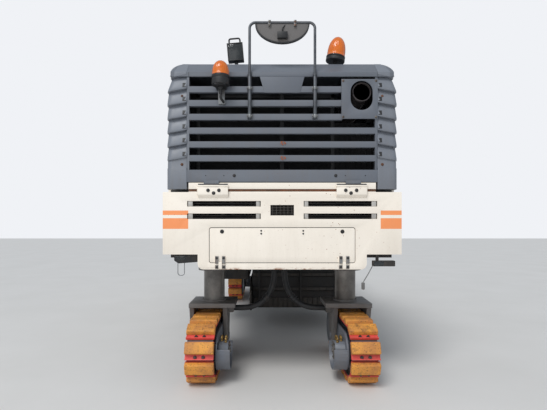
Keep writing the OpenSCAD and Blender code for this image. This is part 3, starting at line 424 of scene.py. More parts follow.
# rings of points joined by walls, with both ends closed
def addLoft(shape, rings):
    grid = [[shape.verts.new(p) for p in ring] for ring in rings]
    for lower, upper in zip(grid, grid[1:]):
        for i in range(len(lower)):
            j = (i + 1) % len(lower)
            shape.faces.new((lower[i], lower[j], upper[j], upper[i]))
    shape.faces.new(grid[0])
    shape.faces.new(grid[-1])


# a plate cut to an outline of (x, z) points, between two depths
def addPlate(shape, outline, front, back):
    addLoft(shape, [[(x, y, z) for x, z in outline] for y in (front, back)])


# a turned form from (radius, height) points, drawn along +Z and then put in place
def addSpun(shape, profile, place=None, sides=32):
    rings = []
    for radius, height in profile:
        if radius < 1e-5:
            rings.append([shape.verts.new((0, 0, height))])
            continue
        rings.append([shape.verts.new((x, y, height)) for x, y in around(sides, radius)])
    for lower, upper in zip(rings, rings[1:]):
        for i in range(sides):
            j = (i + 1) % sides
            corners = [lower[i % len(lower)], lower[j % len(lower)],
                       upper[j % len(upper)], upper[i % len(upper)]]
            shape.faces.new(list(dict.fromkeys(corners)))
    for ring in (rings[0], rings[-1]):
        if len(ring) > 1:
            shape.faces.new(ring)
    added = [v for ring in rings for v in ring]
    if place is not None:
        bmesh.ops.transform(shape, matrix=place, verts=added)
    return added


# a place with a turn about x, then y, then z
def at(x, y, z, turn=(0, 0, 0)):
    rotation = Matrix.Rotation(turn[2], 4, "Z") @ Matrix.Rotation(turn[1], 4, "Y")
    return Matrix.Translation((x, y, z)) @ rotation @ Matrix.Rotation(turn[0], 4, "X")


# corners of a path rounded by arcs, for bent tube
def filleted(points, radius, steps=5):
    points = [Vector(p) for p in points]
    path = [points[0]]
    for before, corner, after in zip(points, points[1:], points[2:]):
        a = (before - corner).normalized()
        b = (after - corner).normalized()
        angle = a.angle(b)
        if angle > math.radians(175):
            path.append(corner)
            continue
        reach = min(radius / math.tan(angle / 2), (before - corner).length / 2,
                    (after - corner).length / 2)
        centre = corner + (a + b).normalized() * (reach / math.cos(angle / 2))
        start = corner + a * reach - centre
        end = (corner + b * reach - centre).normalized()
        size = start.length
        path += [centre + start.normalized().slerp(end, i / steps) * size for i in range(steps + 1)]
    return path + [points[-1]]


# a round bar swept along points; its rings keep their turn from one to the next
def addTube(shape, path, radius, sides=12):
    path = [Vector(p) for p in path]
    side = (path[1] - path[0]).orthogonal().normalized()
    rings = []
    for i, point in enumerate(path):
        along = (path[min(i + 1, len(path) - 1)] - path[max(i - 1, 0)]).normalized()
        side = (side - along * side.dot(along)).normalized()
        over = along.cross(side)
        rings.append([point + side * a + over * b for a, b in around(sides, radius)])
    addLoft(shape, rings)


# the piece's edges broken by a bevel
def bevelled(piece, width, segments=2, harden=False):
    edges = piece.modifiers.new("edges", "BEVEL")
    edges.width = width
    edges.segments = segments
    edges.limit_method = "ANGLE"
    edges.angle_limit = math.radians(34)
    edges.harden_normals = harden
    piece.data = evaluated(piece)
    piece.modifiers.clear()


# a copy of a CAD node with its edges broken, in its place
def dressed(node, finish, body, width=0.004, slot=None, segments=2):
    mesh = nodes[node].data.copy()
    shape = bmesh.new()
    shape.from_mesh(mesh)
    bmesh.ops.remove_doubles(shape, verts=shape.verts, dist=2e-5)
    bmesh.ops.dissolve_limit(
        shape, angle_limit=math.radians(1), verts=shape.verts, edges=shape.edges)
    shape.to_mesh(mesh)
    shape.free()
    mesh.materials.clear()
    piece = pieceFrom("dressed_" + node, mesh)
    if width:
        mesh.shade_smooth()
        bevelled(piece, width, segments, harden=True)
    smoothed(piece.data, 40)
    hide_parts(node)
    return finished(piece, body, finish)


# faces whose middle passes the test get a second finish
def alsoFinished(piece, finish, test):
    piece.data.materials.append(finish)
    for face in piece.data.polygons:
        if test(face.center):
            face.material_index = len(piece.data.materials) - 1


# Geometry Nodes tree that stands a piece on every point, turned and sized as the point says
def repeatTree():
    tree = bpy.data.node_groups.new("Repeat piece", "GeometryNodeTree")
    face = tree.interface
    face.new_socket("Geometry", in_out="INPUT", socket_type="NodeSocketGeometry")
    face.new_socket("Piece", in_out="INPUT", socket_type="NodeSocketObject")
    face.new_socket("Finish", in_out="INPUT", socket_type="NodeSocketMaterial")
    face.new_socket("Size", in_out="INPUT", socket_type="NodeSocketFloat").default_value = 1.0
    face.new_socket("Geometry", in_out="OUTPUT", socket_type="NodeSocketGeometry")
    given = tree.nodes.new("NodeGroupInput").outputs
    turn = put(tree, "GeometryNodeInputNamedAttribute", {"Name": "turn"}, data_type="FLOAT_VECTOR")
    size = put(tree, "GeometryNodeInputNamedAttribute", {"Name": "size"}, data_type="FLOAT")
    scale = put(tree, "ShaderNodeMath", {0: size.outputs[0], 1: given["Size"]}, operation="MULTIPLY")
    piece = put(tree, "GeometryNodeObjectInfo", {"Object": given["Piece"]})
    stood = put(tree, "GeometryNodeInstanceOnPoints", {
        "Points": given["Geometry"], "Instance": piece.outputs["Geometry"],
        "Rotation": turn.outputs[0], "Scale": scale.outputs[0]})
    real = put(tree, "GeometryNodeRealizeInstances", {"Geometry": stood.outputs[0]})
    painted = put(tree, "GeometryNodeSetMaterial", {
        "Geometry": real.outputs[0], "Material": given["Finish"]})
    ending = tree.nodes.new("NodeGroupOutput")
    tree.links.new(painted.outputs[0], ending.inputs[0])
    return tree


repeat = repeatTree()


def setInput(modifier, name, value):
    for item in modifier.node_group.interface.items_tree:
        if item.item_type == "SOCKET" and item.in_out == "INPUT" and item.name == name:
            modifier[item.identifier] = value


# places are (x, y, z, turn, size)
def repeated(name, sample, places, finish, body, angle=38):
    sampleObject = pieceFrom(name + "_sample", sample)
    mesh = bpy.data.meshes.new(name + "_points")
    mesh.from_pydata([p[:3] for p in places], [], [])
    turns = mesh.attributes.new("turn", "FLOAT_VECTOR", "POINT")
    turns.data.foreach_set("vector", [c for p in places for c in p[3]])
    sizes = mesh.attributes.new("size", "FLOAT", "POINT")
    sizes.data.foreach_set("value", [p[4] for p in places])
    piece = pieceFrom(name, mesh)
    modifier = piece.modifiers.new("repeat", "NODES")
    modifier.node_group = repeat
    setInput(modifier, "Piece", sampleObject)
    setInput(modifier, "Finish", finish)
    piece.data = evaluated(piece)
    piece.modifiers.clear()
    bpy.data.objects.remove(sampleObject)
    smoothed(piece.data, angle)
    return finished(piece, body, finish)


# hexagon head on its washer, standing on the origin
def boltSample(name, radius, height):
    shape = bmesh.new()
    addSpun(shape, [(radius * 1.45, 0), (radius * 1.45, height * 0.22), (radius * 1.3, height * 0.3)],
            sides=16)
    addSpun(shape, [(radius, height * 0.2), (radius, height * 0.9), (radius * 0.82, height)], sides=6)
    return meshFrom(name, shape)


# round head with a slight dome
def rivetSample(name, radius, height):
    shape = bmesh.new()
    addSpun(shape, [(radius, 0), (radius, height * 0.4), (radius * 0.75, height * 0.85), (0, height)],
            sides=14)
    return meshFrom(name, shape)


# a piece whose shape is drawn by build, with its edges broken
def solid(name, build, finish, body, bevel=0.0, angle=38):
    shape = bmesh.new()
    build(shape)
    piece = pieceFrom(name, meshFrom(name, shape))
    if bevel:
        bevelled(piece, bevel)
    smoothed(piece.data, angle)
    return finished(piece, body, finish)


# a piece of boxes, each given by two corners from the origin; add can mirror them, after can turn them
def boxes(name, corners, finish, body, bevel=0.0, origin=face, add=addBox, turn=None, after=None):
    def build(shape):
        for pair in corners:
            add(shape, *moved(origin, pair), turn)
        if after:
            after(shape)
    return solid(name, build, finish, body, bevel)


# hexagon bolts, whose head is (radius, height)
def bolted(name, head, places, finish, body):
    return repeated(name, boltSample(name + "_head", *head), places, finish, body)


# bolts on both sides of the rear face; spots are (x, y, z, size) on the right side
def rearBolts(name, head, spots, finish, body):
    places = [(s * x, faceY + y, z, backwards, size) for x, y, z, size in spots for s in (-1, 1)]
    return bolted(name, head, places, finish, body)


# camera as the photograph was taken: level, with its middle shifted off the vanishing point
view = {
    "place": (-0.18, faceY - 4.32, 1.7), "lens": 27.18, "shift": (0.01554, 0.0384),
    "sensor": 36, "reach": 200}


def makeCamera():
    data = bpy.data.cameras.new("camera")
    data.sensor_width = view["sensor"]
    data.lens = view["lens"]
    data.shift_x, data.shift_y = view["shift"]
    data.clip_end = view["reach"]
    camera = pieceFrom("camera", data)
    camera.location = view["place"]
    camera.rotation_euler = backwards
    bpy.context.scene.camera = camera


# hose bundles: middle lines on the right side, in millimetres, y from the leg's place
routes = {
    "r": [
        (60, 90, 1270), (60, 90, 1210), (61, 90, 1150), (64, 89, 1090), (71, 87, 1030),
        (83, 83, 972), (102, 78, 915), (129, 70, 860), (166, 60, 811), (212, 49, 770),
        (265, 37, 738), (322, 25, 716), (381, 14, 704), (441, 5, 700), (501, 0, 700), (560, 0, 700)],
    "f": [
        (60, 450, 1050), (60, 450, 1020), (61, 440, 975), (65, 417, 932), (74, 382, 893),
        (89, 338, 857), (112, 288, 824), (144, 237, 794), (185, 188, 768), (234, 142, 745),
        (289, 101, 727), (348, 65, 713), (408, 34, 704), (466, 10, 700), (514, 0, 700),
        (560, 0, 700)]}
bundleSet = {
    "radius": 0.034, "split": 8, "between": 4, "lug": ((-0.012, -0.016, 0), (0.012, 0.016, 0.022)),
    "clamp": [(0, -0.03), (0.008, -0.03), (0.009, -0.006), (0.004, -0.004), (0.004, 0.004),
              (0.009, 0.006), (0.008, 0.03), (0, 0.03)]}  # out from the hoses, along them


# points between the given ones on a smooth curve through them
def curveThrough(points, between):
    points = [Vector(p) for p in points]
    path = []
    for i in range(len(points) - 1):
        a = points[max(i - 1, 0)]
        b, c = points[i], points[i + 1]
        d = points[min(i + 2, len(points) - 1)]
        for k in range(between):
            t = k / between
            path.append(0.5 * (
                2 * b + (c - a) * t + (2 * a - 5 * b + 4 * c - d) * t ** 2
                + (3 * b - a - 3 * c + d) * t ** 3))
    return path + [points[-1]]


# one bundle in two stretches: the frame to the sleeve, which turns, and on to the leg, which lifts
def makeHose(leg):
    side = sideOf(leg)
    base = legAt[leg].y
    points = [(side * x / 1000, base + y / 1000, z / 1000) for x, y, z in routes[leg[0]]]
    split = bundleSet["split"]
    r = bundleSet["radius"]
    stretches = [
        ("hose_upper_" + leg, points[:split + 1], "chassis", "sleeve_" + leg, "fitting"),
        ("hose_lower_" + leg, points[split:], "sleeve_" + leg, "leg_" + leg, "object")]
    joint = Vector(points[split])
    along = (Vector(points[split + 1]) - Vector(points[split - 1])).normalized()
    turn = Vector((0, 0, 1)).rotation_difference(along).to_matrix().to_4x4()

    def band(shape):
        place = Matrix.Translation(joint) @ turn
        addSpun(shape, [(r + out, d) for out, d in bundleSet["clamp"]], place, 28)
        addBox(shape, *moved(joint + Vector((0, 0, r)), bundleSet["lug"]))
    clamp = solid("hose_clamp_" + leg, band, black, "sleeve_" + leg, 0.001)
    for name, part, first, second, ends in stretches:
        path = curveThrough(part, bundleSet["between"])
        shape = bmesh.new()
        addTube(shape, path, r, 24)
        piece = pieceFrom(name, meshFrom(name, shape))
        smoothed(piece.data, 50)
        piece.data.materials.append(hoseRubber)
        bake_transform(piece)
        if ends == "fitting":
            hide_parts("hoses_" + leg)


# tracks: pads on steel shoes along a band of links
trackSet = {
    "padLength": 0.128, "padThick": 0.055, "padWorn": (0.985, 0.93), "padRound": 0.011,
    "shoeThick": 0.015, "shoe": (-0.066, 0.118), "shoeGap": 0.003, "grouser": (0.016, 0.012),
    "linkThick": 0.04, "linkGap": 0.004, "link": (0.057, 0.093), "boss": (0.075, 0.101, 0.035),
    "backing": (0.135, 0.0005, 0.009), "pin": (0.015, 0.2), "count": 20,
    "boltAt": 0.092, "boltSide": 0.042, "bolt": (0.0135, 0.020)}


# place and turn at distance s along the band, in a track whose straights are twice half long
def loopPlace(s, half, r):
    arc = math.pi * r
    if s < half:
        return s, -r, 0.0
    if s < half + arc:
        t = (s - half) / r
        return half + r * math.sin(t), -r * math.cos(t), t
    if s < 3 * half + arc:
        return half - (s - half - arc), r, math.pi
    if s < 3 * half + 2 * arc:
        t = (s - 3 * half - arc) / r
        return -half - r * math.sin(t), r * math.cos(t), math.pi + t
    return -half + (s - 3 * half - 2 * arc), -r, 0.0


# a worn pad: rounded block whose ground face is a little smaller
def padSample(width):
    size = trackSet
    half, top, foot = size["padLength"] / 2, -size["shoeThick"], -size["shoeThick"] - size["padThick"]
    shape = bmesh.new()
    for v in addBox(shape, (-width / 2, -half, foot), (width / 2, half, top + 0.001)):
        if v.co.z < (top + foot) / 2:
            v.co.x *= size["padWorn"][0]
            v.co.y *= size["padWorn"][1]
    bmesh.ops.bevel(shape, geom=list(shape.edges), offset=size["padRound"], segments=3,
                    affect="EDGES", profile=0.6)
    return meshFrom("pad", shape)


def shoeSample(width):
    start, end = trackSet["shoe"]
    half, thick = width / 2 - trackSet["shoeGap"], trackSet["shoeThick"]
    deep, drop = trackSet["grouser"]
    shape = bmesh.new()
    addBox(shape, (-half, start, -thick), (half, end, 0.0))
    addBox(shape, (-half, end - deep, -thick - drop), (half, end, 0.001 - thick))
    bmesh.ops.bevel(shape, geom=list(shape.edges), offset=0.003, segments=2, affect="EDGES")
    return meshFrom("shoe", shape)


def linkSample(pitch):
    half, gap, thick = pitch / 2, trackSet["linkGap"], trackSet["linkThick"]
    shape = bmesh.new()
    inner, outer = trackSet["link"]
    addPair(shape, (inner, gap - half, 0.001), (outer, half - gap, thick))
    inner, outer, reach = trackSet["boss"]
    addPair(shape, (inner, -reach, gap), (outer, reach, thick - gap))
    wide, foot, top = trackSet["backing"]
    addBox(shape, (-wide, -half - gap, foot), (wide, half + gap, top))
    radius, length = trackSet["pin"]
    place = at(-length / 2, half, thick / 2, (0, math.radians(90), 0))
    addSpun(shape, [(radius, 0), (radius, length)], place, 12)
    return meshFrom("link", shape)


def makeTrack(leg):
    size = trackSet
    a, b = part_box("track_" + leg)
    mid = (a + b) / 2
    outer = (b.z - a.z) / 2
    r = outer - size["padThick"] - size["shoeThick"]
    half = (b.y - a.y) / 2 - outer
    pitch = (4 * half + 2 * math.pi * r) / size["count"]
    width = b.x - a.x
    body = "unit_" + leg
    places, bolts = [], []
    for i in range(size["count"]):
        y, z, turn = loopPlace((i + 0.5) * pitch, half, r)
        places.append((mid.x, mid.y + y, mid.z + z, (turn, 0, 0), 1.0))
        spin = Matrix.Rotation(turn, 3, "X")
        for side in (-1, 1):
            spot = spin @ Vector((side * size["boltSide"], size["boltAt"], -size["shoeThick"]))
            bolts.append((mid.x + spot.x, mid.y + y + spot.y, mid.z + z + spot.z,
                          (turn + math.pi, 0, 0), 1.0))
    pads = repeated("pads_" + leg, padSample(width), places, padRubber, body)
    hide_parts("track_" + leg)
    repeated("shoes_" + leg, shoeSample(width), places, red, body)
    repeated("links_" + leg, linkSample(pitch), places, frameDark, body)
    bolted("shoe_bolts_" + leg, size["bolt"], bolts, black, body)


# hydraulic motor of a track: bolts round its flange, plated fittings and a cap
motorSet = {
    "end": 0.223, "bolts": 8, "boltCircle": 0.086, "bolt": (0.010, 0.012),
    "cap": [(0.052, 0), (0.052, 0.006), (0.046, 0.012), (0.02, 0.014), (0.02, 0.024), (0, 0.024)],
    "collar": [(0.074, 0), (0.074, 0.003), (0.056, 0.003), (0.056, 0)],
    "fitting": [(0.015, 0), (0.015, 0.012), (0.011, 0.014), (0.011, 0.026), (0.016, 0.028),
                (0.016, 0.045), (0.009, 0.05), (0.009, 0.058)],
    "fittingsFrom": 0.108,
    "fittingsAt": [(0.03, -0.045), (0.03, 0.0), (0.03, 0.045), (0.075, -0.022), (0.075, 0.022)]}


def makeMotor(leg):
    side = sideOf(leg)
    back = -1 if leg[0] == "r" else 1
    a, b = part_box("track_" + leg)
    half = (b.y - a.y) / 2 - (b.z - a.z) / 2
    x = legAt[leg].x - side * motorSet["end"]
    y, z = (a.y + b.y) / 2 + back * half, (a.z + b.z) / 2
    body = "unit_" + leg
    inward = (0, -side * math.radians(90), 0)
    count = motorSet["bolts"]
    circle = around(count, motorSet["boltCircle"], math.pi / count)
    bolts = [(x, y + dy, z + dz, inward, 1.0) for dy, dz in circle]
    bolted("motor_bolts_" + leg, motorSet["bolt"], bolts, toolSteel, body)

    def cap(shape):
        for profile in (motorSet["cap"], motorSet["collar"]):
            addSpun(shape, profile, at(x, y, z, inward), 28)
    solid("motor_cap_" + leg, cap, frameDark, body)

    def fittings(shape):
        for dx, dy in motorSet["fittingsAt"]:
            foot = math.sqrt(motorSet["fittingsFrom"] ** 2 - dy ** 2)
            addSpun(shape, motorSet["fitting"], at(x + side * dx, y + dy, z + foot), 6)
    solid("motor_fittings_" + leg, fittings, brass, body, 0.001)


# leg with its column ground bright and a ring of bolts round its foot, and the painted sleeve
legSet = {
    "columnR": 0.1254, "forkDrop": 0.375, "brightFrom": 0.02, "brightTo": 0.3, "bolts": 12,
    "boltCircle": 0.1355, "boltAt": 0.018, "bolt": [(0.007, 0), (0.007, 0.004), (0.005, 0.005)]}


def makeLeg(leg):
    dressed("leg_" + leg, frameDark, "leg_" + leg, 0.005, "leg_steel")
    column = at(*legAt[leg].xy, 0)
    sleeve = low("sleeve_" + leg).z
    forkTop = sleeve - legSet["forkDrop"]

    def bright(shape):
        r = legSet["columnR"]
        foot, top = forkTop + legSet["brightFrom"], sleeve + legSet["brightTo"]
        addSpun(shape, [(r, foot), (r, top)], column, 64)
    solid("column_" + leg, bright, columnSteel, "leg_" + leg)

    def bolts(shape):
        for x, y in around(legSet["bolts"], legSet["boltCircle"]):
            addSpun(shape, legSet["bolt"], column @ at(x, y, forkTop + legSet["boltAt"]), 6)
    solid("column_bolts_" + leg, bolts, toolSteel, "leg_" + leg)
    dressed("sleeve_" + leg, frameDark, "sleeve_" + leg, 0.004, "leg_steel")


# bumper, measured from the rear face: slots, mesh window, hinges, latches and screws.
# Boxes are pairs of corners on the right side, screws are (x, y, z, size)
bumperSet = {
    "window": (0.127, 1.802, 1.928, 0.0112), "hinge": (0.597, 0.697, 1.48, -0.0015),
    "slots": (1.933, 1.802), "brackets": [(0.234, 0.274), (0.938, 0.986)],
    "bracketDepth": (0.006, 0.030), "bracketHalf": 0.028,
    "louvre": (0.215, 1.005), "louvreDepth": (0.027, 0.060), "louvreRise": 0.012, "louvreHalf": 0.0025,
    "louvreTurn": Matrix.Rotation(math.radians(25), 3, "X"),
    "seam": [((-0.979, 0.0035, 2.061), (0.979, 0.0085, 2.086))],
    "cover": (0.565, 0.880), "coverOutline": [
        (-0.0295, 2.027), (-0.0295, 2.104), (-0.0245, 2.104), (-0.0245, 2.029), (-0.0005, 2.001),
        (-0.0005, 1.993)],
    "strip": [((0.565, -0.0295, 2.1085), (0.880, -0.0005, 2.128))],
    "seal": [((0.569, -0.0305, 2.127), (0.876, -0.0005, 2.139))],
    "footLeaves": [((x - 0.018, -0.007, 1.252), (x + 0.018, -0.0005, 1.291)) for x in (0.611, 0.684)],
    "screw": (0.013, 0.012), "screws": [
        (0.659, -0.0295, 2.071, 1.0), (0.772, -0.0295, 2.071, 1.0), (0.714, -0.0295, 2.042, 1.0),
        (0.611, -0.0075, 1.271, 0.7), (0.684, -0.0075, 1.271, 0.7)],
    "flapBolt": (0.012, 0.012), "flapBolts": [
        (0.22, 0, 1.65, 0.55), (0.22, 0, 1.62, 0.55), (0.612, -0.016, 1.366, 0.8),
        (0.684, -0.016, 1.366, 0.8)],
    "latch": (0.63, 0, 1.6425), "latchKey": ((0.6265, -0.009, 1.6315), (0.6335, -0.003, 1.6535)),
    "latchRing": [(0.021, -0.002), (0.021, 0.004), (0.017, 0.007), (0.011, 0.007), (0.009, 0.004),
                  (0, 0.004)]}


def makeBumper():
    wide, foot, top, depth = bumperSet["window"]
    shell = dressed("rear_bumper", creamStriped, "chassis", 0.005, "cream_paint")
    alsoFinished(shell, grimeLumpy, lambda c: abs(c.x) < wide and foot < c.z < top
                 and c.y > faceY + depth)
    x0, x1, leafTop, leafDepth = bumperSet["hinge"]
    flap = dressed("bumper_flap", cream, "flap", 0.006, "cream_paint")
    alsoFinished(flap, hingeSteel, lambda c: x0 < abs(c.x) < x1 and c.z < leafTop
                 and c.y < faceY + leafDepth)

    def latches(shape):
        x, y, z = bumperSet["latch"]
        for side in (-1, 1):
            addSpun(shape, bumperSet["latchRing"], at(side * x, faceY + y, z, backwards), 28)
        addPair(shape, *moved(face, bumperSet["latchKey"]))
    solid("flap_latches", latches, black, "flap", 0.0008)
    rearBolts("bumper_screws", bumperSet["screw"], bumperSet["screws"], black, "chassis")
    rearBolts("flap_bolts", bumperSet["flapBolt"], bumperSet["flapBolts"], black, "flap")


def makeSlots():
    half, (near, far) = bumperSet["bracketHalf"], bumperSet["bracketDepth"]
    brackets = [((x0, near, z - half), (x1, far, z + half))
                for z in bumperSet["slots"] for x0, x1 in bumperSet["brackets"]]
    boxes("slot_brackets", brackets, paleSteel, "chassis", 0.004, add=addPair)
    (x0, x1), (near, far) = bumperSet["louvre"], bumperSet["louvreDepth"]
    rise, half = bumperSet["louvreRise"], bumperSet["louvreHalf"]
    louvres = [((x0, near, z + k - half), (x1, far, z + k + half))
               for z in bumperSet["slots"] for k in (-rise, rise)]
    boxes("slot_louvres", louvres, black, "chassis", add=addPair,
          turn=bumperSet["louvreTurn"])
    boxes("rail_seam", bumperSet["seam"], rusty, "chassis", 0.001)


# hinge covers: the lower parts stay on the bumper, and the strips above them turn with the hood
def makeHingeCovers():
    def covers(shape):
        for side in (-1, 1):
            addLoft(shape, [[(side * x, faceY + y, z) for y, z in bumperSet["coverOutline"]]
                            for x in bumperSet["cover"]])
    solid("hinge_covers", covers, cream, "chassis", 0.001)
    boxes("cover_strips", bumperSet["strip"], cream, "hood", 0.001, add=addPair)
    boxes("cover_seals", bumperSet["seal"], black, "hood", 0.001, add=addPair)
    boxes("foot_leaves", bumperSet["footLeaves"], hingeSteel, "chassis", 0.0015,
          add=addPair)


# hood: taper towards its top, bare plate, apron and corner bolts, rust marks, band seams
hoodSet = {
    "taperFrom": 3.10, "taperTo": 3.28, "taper": 0.034, "slotDepth": 0.0575,
    "plate": [(-0.245, 3.297), (0.245, 3.297), (0.185, 3.096), (-0.185, 3.096)],
    "plateDepth": (0.002, 0.010), "apronBolt": (0.013, 0.012), "apronBolts": [
        (-0.502, 2.228, 0.9), (0.56, 2.228, 0.9), (-0.80, 2.228, 0.3), (-0.61, 2.228, 0.3),
        (0.66, 2.228, 0.3), (0.87, 2.228, 0.3)],  # x, z, size
    "bolt": (0.012, 0.012), "bolts": [(1.050, 0.010, 2.345, 0.9), (1.050, 0.016, 3.062, 0.9)],
    "rustSpot": (0.006, 0.0008), "rustSpots": 9, "rustMarks": (2.566, 2.411), "rustAt": (0.01, -0.0004),
    "seams": [((x - 0.002, -0.0008, 3.268), (x + 0.002, 0.004, 3.309)) for x in (-0.978, 0.999)]}


# the hood draws in a little towards its top
def tapered(z):
    share = (z - hoodSet["taperFrom"]) / (hoodSet["taperTo"] - hoodSet["taperFrom"])
    return 1 - hoodSet["taper"] * min(1.0, max(0.0, share))


def makeHood():
    shell = dressed("hood_shell", grey, "hood", 0.004, "grey_paint")
    shape = bmesh.new()
    shape.from_mesh(shell.data)
    for z in (hoodSet["taperFrom"], hoodSet["taperTo"]):
        everything = shape.verts[:] + shape.edges[:] + shape.faces[:]
        bmesh.ops.bisect_plane(shape, geom=everything, plane_co=(0, 0, z), plane_no=(0, 0, 1))
    for v in shape.verts:
        v.co.x *= tapered(v.co.z)
    shape.to_mesh(shell.data)
    shape.free()
    front = dressed("grille", grey, "hood", 0.0025, "grey_paint")
    # the grille's faces deep behind the slats get the near-black core finish: painted shade between the
    # slats
    alsoFinished(front, darkCoreAndShade, lambda c: c.y > faceY + hoodSet["slotDepth"])

    def plate(shape):
        addPlate(shape, hoodSet["plate"], *(faceY + d for d in hoodSet["plateDepth"]))
    solid("bare_plate", plate, grey, "hood", 0.003)
    boxes("band_seams", hoodSet["seams"], black, "hood")
    rearBolts("hood_bolts", hoodSet["bolt"], hoodSet["bolts"], rusty, "hood")
    apron = [(x, faceY, z, backwards, size) for x, z, size in hoodSet["apronBolts"]]
    bolted("apron_bolts", hoodSet["apronBolt"], apron, black, "hood")


# two rough rings of rust specks on the slats
def makeRustMarks():
    x, depth = hoodSet["rustAt"]
    count = hoodSet["rustSpots"]
    marks = []
    for z in hoodSet["rustMarks"]:
        for i in range(count):
            t = 2 * math.pi * i / count
            marks.append((x + 0.021 * math.cos(t) + 0.006 * math.sin(5 * t), faceY + depth,
                          z + 0.013 * math.sin(t), backwards, 0.7 + 0.3 * math.cos(3 * t)))
    bolted("rust_marks", hoodSet["rustSpot"], marks, rustSpot, "hood")


# corner columns: shingled ribs whose lower edges curve up towards the grille, under a capped top
cornerSet = {
    "inner": 1.0, "outer": 1.21, "round": 0.06, "step": 0.038, "pitch": 0.1444, "count": 6,
    "curve": 0.034, "first": 2.385, "boxTop": 2.306, "bandLip": 3.311, "bevel": 0.13,
    "bandSlope": 0.15, "recess": ((1.006, 0.0015, 0.044), (1.044, 0.0055, 0.094)),
    "recessTurn": Matrix.Rotation(math.radians(-16), 3, "X")}


# one level of a corner column's skin, from the grille's side round to the outer side
def cornerRow(z, depth, lift):
    size = cornerSet
    bevelFoot = roofZ - size["bevel"]
    over = max(0.0, min(z - bevelFoot, size["bevel"] - 0.002))
    outer = size["outer"] - size["bevel"] + math.sqrt(size["bevel"] ** 2 - over ** 2) + 0.002
    lean = max(0.0, z - size["bandLip"]) / (roofZ - size["bandLip"]) * size["bandSlope"]
    front = faceY - 0.003 + depth + lean
    back = max(faceY + 0.14, front + 0.01)
    bend = min(size["round"], back - front - 0.002)
    side = outer * tapered(z) - depth * 0.15
    points = [(size["inner"], back), (size["inner"], front)]
    points += [(size["inner"] + (side - bend - size["inner"]) * k / 8, front) for k in range(1, 9)]
    for k in range(1, 7):
        t = math.pi / 2 * k / 6
        points.append((side - bend + bend * math.sin(t), front + bend - bend * math.cos(t)))
    points.append((side, back))
    width = size["outer"] - size["inner"]
    return [(x, y, z + lift * size["curve"] * max(0.0, (size["outer"] - x) / width) ** 1.4)
            for x, y in points]


# levels of a column from its foot up: height, depth behind the face, share of the edges' curve
def cornerLevels():
    first, pitch, step = cornerSet["first"], cornerSet["pitch"], cornerSet["step"]
    boxTop, lip = cornerSet["boxTop"], cornerSet["bandLip"]
    levels = [(low("corner_ribs").z, 0.0, 0), (boxTop, 0.0, 0), (boxTop + 0.001, 0.010, 0),
              (first - 0.02, 0.012, 0.5)]
    for i in range(cornerSet["count"]):
        z = first + i * pitch
        levels += [(z, step if i else 0.016, 1), (z + 0.001, 0.002, 1), (z + 0.005, 0.0, 1),
                   (z + 0.025, 0.0, 1), (z + pitch - 0.001, step - 0.001, 1)]
    top = first + cornerSet["count"] * pitch
    levels += [(top, step, 1), (top + 0.001, 0.002, 1), (top + 0.012, 0.0, 0.7)]
    return levels + [(lip + (roofZ + 0.001 - lip) * k / 8, 0.0, 0.0) for k in range(9)]


def makeCorners():
    def columns(shape):
        for side in (-1, 1):
            addLoft(shape, [[(side * x, y, z) for x, y, z in cornerRow(*level)]
                            for level in cornerLevels()])
    # the columns' grey is painted lighter than the hood's grey for the sky's light falling on them
    ribs = solid("corner_columns", columns, skyLitGrey, "hood", 0.0012, 30)
    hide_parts("corner_ribs")
    # black patches on each rib's inner half: painted shade standing for the small recesses there
    starts = [cornerSet["first"] + i * cornerSet["pitch"] for i in range(cornerSet["count"])]
    recessShades = [moved(Vector((0, 0, z)), cornerSet["recess"]) for z in starts]
    boxes("corner_recesses", recessShades, black, "hood", 0.001, add=addPair,
          turn=cornerSet["recessTurn"])


# exhaust plate's corner screws and a rolled pipe end, with a near-black disc inside it as painted shade
# in its mouth
exhaustSet = {
    "screw": (0.012, 0.01), "screwX": (0.638, 0.981), "screwZ": (2.840, 3.218),
    "lipAt": (0.844, 0.052, 3.118), "lip": [
        (0.0975, -0.02), (0.103, -0.018), (0.103, -0.004), (0.1, 0.004), (0.094, 0.006),
        (0.0895, 0.002), (0.0895, -0.02)],
    "mouthShadeAt": (0.844, 0.3, 3.118), "mouthShade": [(0.0895, 0), (0.0895, 0.004), (0.03, 0.02), (0, 0.022)]}


def makeExhaust():
    screws = [(x, faceY - 0.004, z, backwards, 0.75) for x in exhaustSet["screwX"]
              for z in exhaustSet["screwZ"]]
    bolted("exhaust_plate_screws", exhaustSet["screw"], screws, toolSteel, "hood")
    dressed("exhaust", sooty, "chassis", 0.0, "exhaust_steel")

    def lip(shape):
        addSpun(shape, exhaustSet["lip"], at(*(face + Vector(exhaustSet["lipAt"])), backwards), 48)
    solid("exhaust_lip", lip, sooty, "chassis")

    # a near-black disc inside the pipe: painted shade in the pipe's mouth
    def mouthShade(shape):
        addSpun(shape, exhaustSet["mouthShade"], at(*(face + Vector(exhaustSet["mouthShadeAt"])), backwards), 40)
    solid("exhaust_baffle", mouthShade, darkCoreAndShade, "chassis")


# hoop of bent tube in its sockets, with the plate and terminal box that it carries
hoopSet = {
    "x": 0.34, "r": 0.014, "socket": 0.019, "foot": 3.20, "bend": 0.06,
    "socketZ": (2.815, 3.265), "collarZ": (3.262, 3.276), "clampZ": (2.844, 3.133),
    "clampHalf": (0.026, 0.018),
    "clampStud": [(0.008, 0), (0.008, 0.012), (0.004, 0.013), (0.004, 0.022)],
    "bow": (0.2825, 0.204), "bowThick": 0.012, "bowHalf": 0.018, "plate": (0.272, 0.194),
    "strap": 0.133, "nut": (0.012, 0.012),
    "box": [((-0.052, -0.040, 3.640), (0.053, -0.003, 3.708)),
            ((-0.046, -0.044, 3.646), (0.047, -0.039, 3.702))],
    "cable": [(0.0, -0.02, 3.705), (0.0, -0.02, 3.745), (0.03, 0, 3.79)], "cableR": 0.006}


# half an ellipse that hangs from a height, as (x, z) points
def hangingArc(width, height, top, steps=40):
    turns = [math.pi * i / steps for i in range(steps + 1)]
    return [(-width * math.cos(t), top - height * math.sin(t)) for t in turns]


